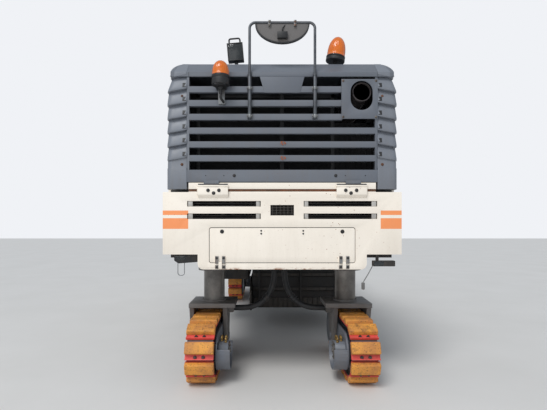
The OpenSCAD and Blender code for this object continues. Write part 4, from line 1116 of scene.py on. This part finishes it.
def makeHoop():
    x, r, socket = hoopSet["x"], hoopSet["r"], hoopSet["socket"]
    y = faceY - socket - 0.004
    top = high("hoop").z - r

    def tubes(shape):
        foot = hoopSet["foot"]
        addTube(shape, filleted([(-x, y, foot), (-x, y, top), (x, y, top), (x, y, foot)],
                                hoopSet["bend"], 8), r, 20)
        for side in (-1, 1):
            addTube(shape, [(side * x, y, z) for z in hoopSet["socketZ"]], socket, 24)
            addTube(shape, [(side * x, y, z) for z in hoopSet["collarZ"]], socket + 0.004, 24)
    hoop = solid("hoop_tubes", tubes, hoopSteel, "hood", 0.0015, 40)
    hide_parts("hoop")

    def clamps(shape):
        wide, tall = hoopSet["clampHalf"]
        for z in hoopSet["clampZ"]:
            addPair(shape, (x - wide, y - 0.004, z - tall), (x + wide, faceY + 0.008, z + tall))
            for side in (-1, 1):
                for out in (-0.02, 0.02):
                    addSpun(shape, hoopSet["clampStud"], at(side * x + out, y - 0.006, z, backwards), 6)
                addTube(shape, [(side * x, y, z - 0.016), (side * x, y, z + 0.016)], socket + 0.005, 24)
        strap = hoopSet["strap"]
        addPair(shape, (strap - 0.014, y - 0.020, top - 0.045), (strap + 0.014, y + 0.020, top + 0.02))
    solid("hoop_clamps", clamps, galvanised, "hood", 0.004)
    nuts = [(s * x + d, y - 0.003, z, backwards, 0.7) for s in (-1, 1) for d in (-0.019, 0.019)
            for z in hoopSet["clampZ"]]
    nuts += [(s * hoopSet["strap"], y - 0.020, top + d, backwards, 0.7)
             for s in (-1, 1) for d in (-0.034, 0.0)]
    bolted("hoop_nuts", hoopSet["nut"], nuts, toolSteel, "hood")
    makeBow(y, top - r - 0.002)


# half-round plate in its rim, hung under the hoop's top tube, and the terminal box on it
def makeBow(y, top):
    def rim(shape):
        (width, height), thick = hoopSet["bow"], hoopSet["bowThick"]
        half = hoopSet["bowHalf"]
        outer, inner = hangingArc(width, height, top), hangingArc(width - thick, height - thick, top)
        addLoft(shape, [[(a[0], y - half, a[1]), (a[0], y + half, a[1]),
                         (b[0], y + half, b[1]), (b[0], y - half, b[1])] for a, b in zip(outer, inner)])
    solid("bow_rim", rim, black, "hood")

    def plate(shape):
        addPlate(shape, hangingArc(*hoopSet["plate"], top), y - 0.004, y + 0.004)
    solid("bow_plate", plate, frameDark, "hood")

    def box(shape):
        origin = Vector((0, y, 0))
        for corners in hoopSet["box"]:
            addBox(shape, *moved(origin, corners))
        addTube(shape, filleted(moved(origin, hoopSet["cable"]), 0.02), hoopSet["cableR"], 10)
    solid("terminal_box", box, black, "hood", 0.003)


# beacons, measured from the rear face: place, radius, height, lean, the foot's share of the height, stem
beaconSet = {
    "beacons": [((-0.634, -0.098, 3.135), 0.092, 0.255, 0.0, 0.40, 0.0),
                ((0.589, 0.28, roofZ), 0.1045, 0.2805, math.radians(8), 0.21, 0.074)],
    "stem": [(0.06, 0), (0.06, 0.01), (0.055, 0.014), (0.024, 0.016), (0.022, 0.075)],
    "shelf": ((-0.690, -0.170, 3.125), (-0.578, 0.008, 3.135)),
    "nut": [(0.026, 3.096), (0.026, 3.126)], "plug": [(0.017, 3.050), (0.017, 3.098)],
    "elbow": [(-0.634, -0.098, 3.06), (-0.634, -0.098, 3.010), (-0.612, -0.060, 2.985),
              (-0.612, -0.02, 2.985)],
    "elbowR": 0.013, "wall": 0.004, "rim": 0.010, "narrow": 0.975, "flutes": 24, "fluteDepth": 0.016,
    "levels": (0.1, 0.2, 0.3, 0.4, 0.5, 0.6, 0.7, 0.8, 0.88, 0.94, 0.98, 0.995),
    "bracket": [((-0.668, -0.012, 2.972), (-0.600, -0.004, 3.130)),
                ((-0.655, -0.110, 3.108), (-0.613, -0.006, 3.116))],
    "bracketNut": [(0.024, 0), (0.024, 0.02)], "bracketNutAt": (-0.612, -0.012, 2.985)}


def makeBeacons():
    def feet(shape):
        for spot, r, h, lean, share, stem in beaconSet["beacons"]:
            place = at(*(face + Vector(spot)), (0, lean, 0))
            base = h * share
            profile = [(r * 0.92, stem), (r, stem + 0.006), (r, stem + base * 0.55),
                       (r * 0.95, stem + base * 0.6), (r * 0.95, stem + base * 0.72),
                       (r, stem + base * 0.78), (r, stem + base)]
            addSpun(shape, profile, place, 48)
            if stem:
                addSpun(shape, beaconSet["stem"], place, 32)
        addBox(shape, *moved(face, beaconSet["shelf"]))
        x, y, _ = beaconSet["beacons"][0][0]
        addSpun(shape, beaconSet["nut"], at(x, faceY + y, 0), 6)
        addSpun(shape, beaconSet["plug"], at(x, faceY + y, 0), 20)
        addTube(shape, filleted(moved(face, beaconSet["elbow"]), 0.02, 6), beaconSet["elbowR"], 14)
    piece = solid("beacon_feet", feet, black, "hood", 0.0015, 40)
    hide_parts("beacons")

    def bracket(shape):
        for corners in beaconSet["bracket"]:
            addBox(shape, *moved(face, corners))
        nutAt = face + Vector(beaconSet["bracketNutAt"])
        addSpun(shape, beaconSet["bracketNut"], at(*nutAt, backwards), 6)
    solid("beacon_bracket", bracket, galvanised, "hood", 0.0015)


# egg-shaped lenses with upright flutes on their lower part
def makeDomes():
    rim, narrow, deep = beaconSet["rim"], beaconSet["narrow"], beaconSet["fluteDepth"]

    def domes(shape):
        for spot, r, h, lean, share, stem in beaconSet["beacons"]:
            foot, tall, wall = stem + h * share, h - h * share, r - beaconSet["wall"]
            profile = [(wall, foot), (wall, foot + 0.008), (wall * narrow, foot + rim)]
            profile += [(wall * narrow * (1 - k ** 2.6) ** 0.5, foot + rim + (tall - rim) * k)
                        for k in beaconSet["levels"]]
            added = addSpun(shape, profile + [(0.0, foot + tall)], None, 72)
            for v in added:
                if foot + 0.012 < v.co.z < foot + tall * 0.72:
                    wave = math.cos(math.atan2(v.co.y, v.co.x) * beaconSet["flutes"])
                    v.co.xy *= 1 + deep * wave
            place = at(*(face + Vector(spot)), (0, lean, 0))
            bmesh.ops.transform(shape, matrix=place, verts=added)
    solid("beacon_domes", domes, amber, "hood", 0.0, 60)


# work lamp on the roof, measured from the roof's top behind the rear face
lampSet = {
    "depth": 0.24, "pivot": (-0.495, 0, 0.03), "lean": math.radians(-5), "leanFrom": 0.06,
    "case": ((-0.583, 0.010, 0.08), (-0.408, 0.090, 0.277)),
    "post": [(0.032, 0), (0.032, 0.008), (0.02, 0.012), (0.02, 0.081)], "postAt": (-0.495, 0.045, 0),
    "fin": ((-0.578, 0.088, 0.10), (-0.413, 0.104, 0.108)), "fins": 5, "finPitch": 0.04,
    "handle": [(-0.556, 0.046, 0.27), (-0.556, 0.046, 0.340), (-0.435, 0.046, 0.340),
               (-0.435, 0.046, 0.27)],
    "bezel": [((-0.583, 0, 0.08), (-0.408, 0.014, 0.092)), ((-0.583, 0, 0.265), (-0.408, 0.014, 0.277)),
              ((-0.583, 0, 0.08), (-0.571, 0.014, 0.277)), ((-0.420, 0, 0.08), (-0.408, 0.014, 0.277))],
    "glass": [((-0.573, 0.005, 0.090), (-0.418, 0.012, 0.267))]}


def makeWorkLamp():
    origin = Vector((0, faceY + lampSet["depth"], roofZ))
    pivot = Matrix.Translation(Vector((0, 0, roofZ)) + Vector(lampSet["pivot"]))
    lean = pivot @ Matrix.Rotation(lampSet["lean"], 4, "Y") @ pivot.inverted()

    def leaned(shape):
        raised = [v for v in shape.verts if v.co.z > roofZ + lampSet["leanFrom"]]
        bmesh.ops.transform(shape, matrix=lean, verts=raised)

    def case(shape):
        addBox(shape, *moved(origin, lampSet["case"]))
        addSpun(shape, lampSet["post"], at(*(origin + Vector(lampSet["postAt"]))), 24)
        for i in range(lampSet["fins"]):
            addBox(shape, *moved(origin + Vector((0, 0, i * lampSet["finPitch"])), lampSet["fin"]))
        addTube(shape, filleted(moved(origin, lampSet["handle"]), 0.02, 6), 0.009, 12)
        leaned(shape)
    lamp = solid("work_lamp_case", case, black, "hood", 0.006)
    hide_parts("work_lamp")
    for name, part, finish, bevel in (("work_lamp_bezel", "bezel", black, 0.003),
                                      ("work_lamp_glass", "glass", glass, 0.002)):
        boxes(name, lampSet[part], finish, "hood", bevel, origin=origin, after=leaned)


# lamps under the bumper's corners, from the sill: a wedge with a wire guard, and a paddle on an arm
rearLampSet = {
    "depth": 0.06, "thick": 0.07,
    "wedge": [(-1.145, 0), (-0.89, 0), (-0.90, -0.085), (-1.10, -0.1), (-1.145, -0.07)],
    "paddle": [((1.000, 0.010, -0.080), (1.030, 0.040, 0)), ((0.967, 0, -0.131), (1.203, 0.060, -0.071))],
    "guard": [(-1.11, 0.03, -0.09), (-1.11, 0.03, -0.23), (-1.04, 0.03, -0.23), (-1.04, 0.03, -0.09)],
    "wire": [(0.975, 0.03, -0.115), (0.93, 0.03, -0.20), (0.87, 0.03, -0.30)],
    "plug": [(0.012, -0.02), (0.018, -0.015), (0.018, 0.05), (0.012, 0.055)],
    "plugAt": (0.868, 0.03, -0.36),
    "lenses": [((0.975, -0.004, -0.124), (1.08, 0.002, -0.078)),
               ((-1.13, -0.004, -0.062), (-1.02, 0.002, -0.018))]}


def makeRearLamps():
    origin = Vector((0, faceY + rearLampSet["depth"], sillZ))

    def cases(shape):
        outline = [(x, sillZ + z) for x, z in rearLampSet["wedge"]]
        addPlate(shape, outline, origin.y, origin.y + rearLampSet["thick"])
        for corners in rearLampSet["paddle"]:
            addBox(shape, *moved(origin, corners))
    lamps = solid("rear_lamp_cases", cases, black, "chassis", 0.006)
    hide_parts("rear_lamps")

    def wires(shape):
        addTube(shape, filleted(moved(origin, rearLampSet["guard"]), 0.03, 6), 0.004, 10)
        addTube(shape, filleted(moved(origin, rearLampSet["wire"]), 0.05), 0.005, 10)
        addSpun(shape, rearLampSet["plug"], at(*(origin + Vector(rearLampSet["plugAt"]))), 16)
    solid("rear_lamp_wires", wires, galvanised, "chassis")
    boxes("rear_lamp_lenses", rearLampSet["lenses"], glass, "chassis", 0.003,
          origin=origin)


# pieces that only get their edges broken: node, finish, body, width of the edge, slot, and steps
# where the edge has more than two
plainNodes = [
    # the frame, drum housing, primary conveyor and scraper take the near-black paint: grime and painted
    # shade from the machine above
    ("chassis_frame", grimeAndShade, "chassis", 0.005, "frame_steel"),
    ("side_panels", cream, "chassis", 0.006, "cream_paint"),
    ("engine_block", frameDark, "chassis", 0.02, "frame_steel"),
    ("radiator", darkCoreAndShade, "chassis", 0.004, "radiator_core"),
    ("oil_tank", black, "chassis", 0.02, "black_metal", 3),
    ("drum_housing", grimeAndShade, "chassis", 0.005, "frame_steel"),
    ("primary_conveyor", grimeAndShade, "chassis", 0.004, "frame_steel"),
    ("platform", tread, "chassis", 0.004, "black_metal"),
    ("ladders", frameDark, "chassis", 0.004, "frame_steel"),
    ("railings", cream, "chassis", 0.0, "cream_paint"),
    ("consoles", black, "chassis", 0.02, "black_metal", 3),
    ("water_tank", cream, "chassis", 0.04, "cream_paint", 4),
    ("head_lamps", black, "chassis", 0.008, "black_metal", 3),
    ("swivel_bracket", frameDark, "swivel", 0.005, "frame_steel"),
    ("discharge_conveyor", cream, "conveyor", 0.004, "cream_paint"),
    ("discharge_belt", beltRubber, "conveyor", 0.0, "belt_rubber"),
    ("lift_barrels", black, "barrels", 0.003, "black_metal"),
    ("lift_rods", columnSteel, "rods", 0.002, "rod_chrome"),
    ("edge_plate_left", grimeLumpy, "edge_left", 0.004, "wear_steel"),
    ("edge_plate_right", grimeLumpy, "edge_right", 0.004, "wear_steel"),
    ("tie_rod_front", black, "tie_front", 0.003, "black_metal"),
    ("tie_rod_rear", black, "tie_rear", 0.003, "black_metal"),
    ("milling_drum", toolSteel, "drum", 0.0, "drum_steel"),
    ("scraper", grimeAndShade, "scraper", 0.004, "wear_steel")]


def makeFrame():
    for row in plainNodes:
        dressed(*row)
    for leg in legNames:
        dressed("track_frame_" + leg, grey, "unit_" + leg, 0.004, "grey_paint")


# wear segments bolted along the scraper's lower edge, and its stiffening angles
scraperSet = {
    "face": 0.06, "pitch": 0.082, "gap": 0.008, "uneven": 0.035, "ragged": 0.01, "segmentTop": 0.17,
    "bars": (0.62, 0.86, 1.06), "barDepth": 0.034, "barThick": (0.012, 0.008), "barTall": 0.06,
    "nut": (0.013, 0.014), "nutAt": 0.13, "barNutPitch": 0.118}


def makeScraper():
    size = scraperSet
    a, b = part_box("scraper")
    rear = a.y + size["face"]
    pitch = size["pitch"]
    spread = random.Random(7)
    segments = []
    for i in range(int((b.x - a.x - 0.04) / pitch)):
        x = a.x + 0.02 + i * pitch
        segments.append((x, spread.uniform(0.0, size["uneven"]), spread.uniform(-size["ragged"], 0.0)))

    def wear(shape):
        for x, lift, back in segments:
            addBox(shape, (x, rear - 0.016 + back, a.z + 0.004 + lift),
                   (x + pitch - size["gap"], rear + 0.002, a.z + size["segmentTop"]))
        front = rear - size["barDepth"]
        flat, upright = size["barThick"]
        for z in size["bars"]:
            addBox(shape, (a.x + 0.01, front, z), (b.x - 0.01, rear + 0.002, z + flat))
            addBox(shape, (a.x + 0.01, front, z), (b.x - 0.01, front + upright, z + size["barTall"]))
    solid("wear_segments", wear, grimeLumpy, "scraper", 0.002)
    nuts = [(x + pitch / 2, rear - 0.014, a.z + size["nutAt"], backwards, 1.0) for x, _, _ in segments]
    nuts += [(a.x + 0.06 + i * size["barNutPitch"], rear - 0.032, z + 0.035, backwards, 1.0)
             for z in size["bars"] for i in range(int((b.x - a.x - 0.1) / size["barNutPitch"]))]
    bolted("scraper_nuts", size["nut"], nuts, grimeLumpy, "scraper")


# fins of the radiator as they show between the slats, its frame, and the baffles beside it
radiatorSet = {
    "pitch": 0.012, "finHalf": 0.0012, "finDepth": 0.006, "inset": 0.05, "frame": 0.04,
    "outer": 1.145, "foot": 2.14, "top": 3.22, "stepZ": (2.84, 2.86), "stepX": 0.96,
    "foldPitch": 0.06, "fold": 0.004}


def makeRadiator():
    a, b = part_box("radiator")
    y = a.y - radiatorSet["finDepth"]
    half, inset, pitch = radiatorSet["finHalf"], radiatorSet["inset"], radiatorSet["pitch"]
    shape = bmesh.new()
    addBox(shape, (-half, 0, a.z + inset), (half, radiatorSet["finDepth"], b.z - inset))
    places = [(a.x + inset + i * pitch, y, 0, (0, 0, 0), 1.0)
              for i in range(int((b.x - a.x - 2 * inset) / pitch))]
    repeated("radiator_fins", meshFrom("fin", shape), places, darkCoreAndShade, "chassis")
    edge = radiatorSet["frame"]
    bars = [((a.x, a.z), (b.x, a.z + edge)), ((a.x, b.z - edge), (b.x, b.z)),
            ((a.x, a.z), (a.x + edge, b.z)), ((b.x - edge, a.z), (b.x, b.z))]
    rim = [((p[0], y - 0.008, p[1]), (q[0], a.y + 0.01, q[1])) for p, q in bars]
    boxes("radiator_rim", rim, black, "chassis", 0.003, origin=Vector())
    outer, foot, top = radiatorSet["outer"], radiatorSet["foot"], radiatorSet["top"]
    (stepFoot, stepTop), stepX = radiatorSet["stepZ"], radiatorSet["stepX"]
    pitch = radiatorSet["foldPitch"]
    baffles = []
    for x0, x1, z0, z1 in ((-outer, a.x + 0.01, foot, top), (b.x - 0.01, outer, foot, stepTop),
                           (stepX, outer, stepFoot, top)):
        baffles.append(((x0, y + 0.002, z0), (x1, y + 0.014, z1)))
        for k in range(1, int((x1 - x0) / pitch)):
            x = x0 + k * pitch
            baffles.append(((x, y - 0.010, z0 + 0.01), (x + radiatorSet["fold"], y + 0.004, z1 - 0.01)))
    boxes("air_baffles", baffles, darkCoreAndShade, "chassis", 0.001, origin=Vector())


# side doors' handles in their dishes, and the doors' screws
sideSet = {
    "start": 0.26, "doorPitch": 0.9, "handleBack": 0.12, "dish": (0.05, 0.07), "pull": (0.022, 0.045),
    "screw": (0.011, 0.010), "screwRise": 0.09, "screwAt": (-0.74, -0.03, 0.05)}


def makeSides():
    x = high("side_panels").x
    z = (sillZ + beltZ) / 2
    start = faceY + sideSet["start"]
    handles = []
    y = start + sideSet["doorPitch"] - sideSet["handleBack"]
    while y < noseY - 0.2:
        handles.append(y)
        y += sideSet["doorPitch"]

    def pulls(shape):
        long, tall = sideSet["dish"]
        out, half = sideSet["pull"]
        for y in handles:
            addPair(shape, (x - 0.002, y - long, z - tall), (x + 0.004, y + long, z + tall))
            for side in (-1, 1):
                path = [(side * (x + 0.001), y, z - half), (side * (x + out), y, z - half),
                        (side * (x + out), y, z + half), (side * (x + 0.001), y, z + half)]
                addTube(shape, filleted(path, 0.012), 0.006, 10)
    solid("door_handles", pulls, black, "chassis", 0.001)
    rise = sideSet["screwRise"]
    screws = [(side * x, y + dy, z, (0, side * math.radians(90), 0), 1.0)
              for side in (-1, 1) for y in handles for z in (sillZ + rise, beltZ - rise)
              for dy in sideSet["screwAt"] if start < y + dy < noseY - 0.05]
    bolted("door_screws", sideSet["screw"], screws, toolSteel, "chassis")


# water tank's filler caps with their lugs, and lifting eyes
tankSet = {
    "capX": 0.6, "capY": 0.5, "lugs": 4, "lugAt": 0.118,
    "lug": ((-0.012, -0.012, 0.02), (0.012, 0.012, 0.055)),
    "cap": [(0.13, -0.002), (0.13, 0.02), (0.115, 0.024), (0.115, 0.05), (0.1, 0.062), (0, 0.062)],
    "eyeX": 1.05, "eyeY": (0.2, 0.7), "eyeR": 0.012,
    "eye": [(-0.05, -0.004), (-0.05, 0.09), (0.05, 0.09), (0.05, -0.004)]}


def makeTank():
    a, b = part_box("water_tank")

    def fillers(shape):
        for side in (-1, 1):
            centre = Vector((side * tankSet["capX"], a.y + tankSet["capY"], b.z))
            addSpun(shape, tankSet["cap"], at(*centre), 40)
            for x, y in around(tankSet["lugs"], tankSet["lugAt"]):
                addBox(shape, *moved(centre + Vector((x, y, 0)), tankSet["lug"]))
    solid("tank_fillers", fillers, black, "chassis", 0.003)

    def eyes(shape):
        front, back = tankSet["eyeY"]
        for x in (-tankSet["eyeX"], tankSet["eyeX"]):
            for y in (a.y + front, b.y - back):
                path = [(x + dx, y, b.z + dz) for dx, dz in tankSet["eye"]]
                addTube(shape, filleted(path, 0.045, 6), tankSet["eyeR"], 12)
    solid("lifting_eyes", eyes, frameDark, "chassis")


# two consoles, each with a wheel on its shaft, four levers and five dials
controlSet = {
    "x": 0.83, "levers": 4, "leverFrom": -0.15, "leverPitch": 0.1, "leverFoot": (0.16, 0.885),
    "lever": (0, -0.03, 0.11), "leverR": 0.007,
    "knob": [(0.006, -0.02), (0.018, -0.012), (0.02, 0.008), (0.012, 0.022), (0, 0.024)],
    "knobAt": (0.13, 1.0), "wheelAt": (-0.04, 0.82), "wheelTurn": math.radians(62), "wheelR": 0.19,
    "grip": 0.014, "spokes": 3, "spokeR": 0.009, "shaft": (-0.16, 0.01), "shaftR": 0.028,
    "dial": (0.032, 0.012), "dials": 5, "dialFrom": -0.2, "dialPitch": 0.1, "dialAt": (0.30, 0.985),
    "dialTurn": (math.radians(-30), 0, 0)}


def makeControls():
    size = controlSet
    x, back = size["x"], low("consoles").y

    def levers(shape):
        (footY, footZ), (knobY, knobZ) = size["leverFoot"], size["knobAt"]
        for side in (-1, 1):
            for i in range(size["levers"]):
                px = side * (x + size["leverFrom"] + i * size["leverPitch"])
                foot = Vector((px, back + footY, deckZ + footZ))
                addTube(shape, [foot, foot + Vector(size["lever"])], size["leverR"], 10)
                addSpun(shape, size["knob"], at(px, back + knobY, deckZ + knobZ), 16)
    solid("console_levers", levers, black, "chassis")

    def wheels(shape):
        y, z = size["wheelAt"]
        for side in (-1, 1):
            centre = at(side * x, back + y, deckZ + z, (size["wheelTurn"], 0, 0))
            grip = [centre @ Vector((*p, 0)) for p in around(48, size["wheelR"])]
            addTube(shape, grip + grip[:1], size["grip"], 12)
            hub = centre @ Vector((0, 0, -0.02))
            for p in around(size["spokes"], size["wheelR"], 0.5):
                addTube(shape, [hub, centre @ Vector((*p, 0))], size["spokeR"], 8)
            addTube(shape, [centre @ Vector((0, 0, d)) for d in size["shaft"]], size["shaftR"], 16)
    solid("steering_wheels", wheels, black, "chassis", 0.0, 50)
    y, z = size["dialAt"]
    dials = [(side * (x + size["dialFrom"] + size["dialPitch"] * i), back + y, deckZ + z,
              size["dialTurn"], 1.0) for side in (-1, 1) for i in range(size["dials"])]
    repeated("console_dials", rivetSample("dial", *size["dial"]), dials, glass, "chassis")


# head lamps' glasses: inner and outer edge, depth, and height of the glass in its case
glassSet = {"x": (0.972, 1.128), "y": (-0.002, 0.006), "z": (0.012, 0.128), "case": 0.14}


def makeHeadLamps():
    a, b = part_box("head_lamps")
    (x0, x1), (y0, y1), (z0, z1) = glassSet["x"], glassSet["y"], glassSet["z"]
    glasses = [((x0, b.y + y0, z + z0), (x1, b.y + y1, z + z1)) for z in (a.z, b.z - glassSet["case"])]
    boxes("head_lamp_glasses", glasses, glass, "chassis", 0.004, origin=Vector(),
          add=addPair)


# discharge conveyor: slanting cleats on the belt and bolts along the sides
conveyorSet = {
    "slope": math.radians(20), "end": 0.12, "cleatStart": 0.1, "cleatPitch": 0.32, "cleatRise": 0.0955,
    "cleat": (0.03, 0.012, 0.022), "cleatSlant": 0.45, "boltStart": 0.5, "boltPitch": 0.5,
    "boltRise": (-0.07, 0.12), "bolt": (0.011, 0.01)}


# distances from start in equal steps, up to an end
def steps(start, end, pitch):
    found = []
    while start < end:
        found.append(start)
        start += pitch
    return found


def makeConveyor():
    size = conveyorSet
    b = high("discharge_conveyor")
    slope = size["slope"]
    along = Vector((0, math.cos(slope), math.sin(slope)))
    up = Vector((0, -math.sin(slope), math.cos(slope)))
    hinge = [j for j in frame["joints"] if j["name"] == "conveyor_lift"][0]
    foot = Vector(hinge["pos_m"])
    length = (b.y - foot.y) / math.cos(slope) - size["end"]
    inset, half, thick = size["cleat"]
    shape = bmesh.new()
    reach = (high("discharge_belt").x - low("discharge_belt").x) / 2 - inset
    addPair(shape, (0.0, -half, 0.0), (reach, half, thick))
    for v in shape.verts:
        v.co.y += abs(v.co.x) * size["cleatSlant"]
    cleats = []
    for d in steps(size["cleatStart"], length - 0.15, size["cleatPitch"]):
        spot = foot + along * d + up * size["cleatRise"]
        cleats.append((0, spot.y, spot.z, (slope, 0, 0), 1.0))
    repeated("belt_cleats", meshFrom("cleat", shape), cleats, beltRubber, "conveyor")
    bolts = []
    for d in steps(size["boltStart"], length - 0.2, size["boltPitch"]):
        for side in (-1, 1):
            for h in size["boltRise"]:
                spot = foot + along * d + up * h
                bolts.append((side * b.x, spot.y, spot.z, (0, side * math.radians(90), 0), 1.0))
    bolted("conveyor_bolts", size["bolt"], bolts, toolSteel, "conveyor")


# floor, light and sky
stageSet = {
    "floor": shade(226, 224, 221), "floorWorn": shade(214, 212, 208), "floorSize": 90,
    "sky": shade(240, 242, 246), "skyLight": shade(214, 222, 232), "skyPower": 0.62, "sun": 1.5,
    "sunTurn": (math.radians(38), 0.0, math.radians(-28)), "sunSize": math.radians(24),
    "fill": 120.0, "fillSize": 6.0, "fillAt": (-3.0, faceY - 7.0, 4.5),
    "fillTurn": (math.radians(68), 0, math.radians(-22))}


def makeStage():
    bpy.ops.mesh.primitive_plane_add(size=stageSet["floorSize"], location=(0, 0, 0))
    floor = bpy.context.object
    floor.name = "floor"
    material, tree, shader, place = newFinish("floor", 0.9)
    tint = mixed(tree, noise(tree, place, 0.8, 6.0), stageSet["floor"], stageSet["floorWorn"])
    tree.links.new(tint, shader.inputs["Base Color"])
    bumped(tree, shader, noise(tree, place, 60.0, 6.0), 0.15, 0.004)
    floor.data.materials.append(material)
    sun = bpy.data.lights.new("sun", "SUN")
    sun.energy = stageSet["sun"]
    sun.angle = stageSet["sunSize"]
    pieceFrom("sun", sun).rotation_euler = stageSet["sunTurn"]
    fill = bpy.data.lights.new("fill", "AREA")
    fill.energy = stageSet["fill"]
    fill.size = stageSet["fillSize"]
    panel = pieceFrom("fill", fill)
    panel.location = stageSet["fillAt"]
    panel.rotation_euler = stageSet["fillTurn"]


# the sky as the camera sees it is pale, and lights the object less
def makeSky():
    world = bpy.data.worlds.new("sky")
    bpy.context.scene.world = world
    world.use_nodes = True
    tree = world.node_tree
    background = tree.nodes["Background"]
    rays = put(tree, "ShaderNodeLightPath").outputs
    seen = calc(tree, "MAXIMUM", rays["Is Camera Ray"], rays["Is Transmission Ray"])
    tint = mixed(tree, seen, stageSet["skyLight"], stageSet["sky"])
    tree.links.new(tint, background.inputs["Color"])
    strength = put(tree, "ShaderNodeMapRange", {
        "Value": seen, "To Min": stageSet["skyPower"], "To Max": 1.0})
    tree.links.new(strength.outputs[0], background.inputs["Strength"])


def renderSettings():
    scene = bpy.context.scene
    scene.render.engine = "CYCLES"
    scene.cycles.samples = 96
    scene.cycles.use_denoising = True
    scene.view_settings.view_transform = "Standard"
    scene.render.resolution_x = 547
    scene.render.resolution_y = 410
    scene.render.resolution_percentage = 100


makeCamera()
for leg in legNames:
    makeHose(leg)
print("hoses hung")
makeFrame()
makeScraper()
print("frame dressed")
for leg in legNames:
    makeTrack(leg)
    makeMotor(leg)
    makeLeg(leg)
print("legs and tracks")
makeBumper()
makeSlots()
makeHingeCovers()
makeHood()
makeRustMarks()
makeCorners()
makeExhaust()
makeHoop()
makeBeacons()
makeDomes()
makeWorkLamp()
makeRearLamps()
print("rear face")
makeRadiator()
makeSides()
makeTank()
makeControls()
makeHeadLamps()
makeConveyor()
print("deck and conveyor")
makeStage()
makeSky()
renderSettings()
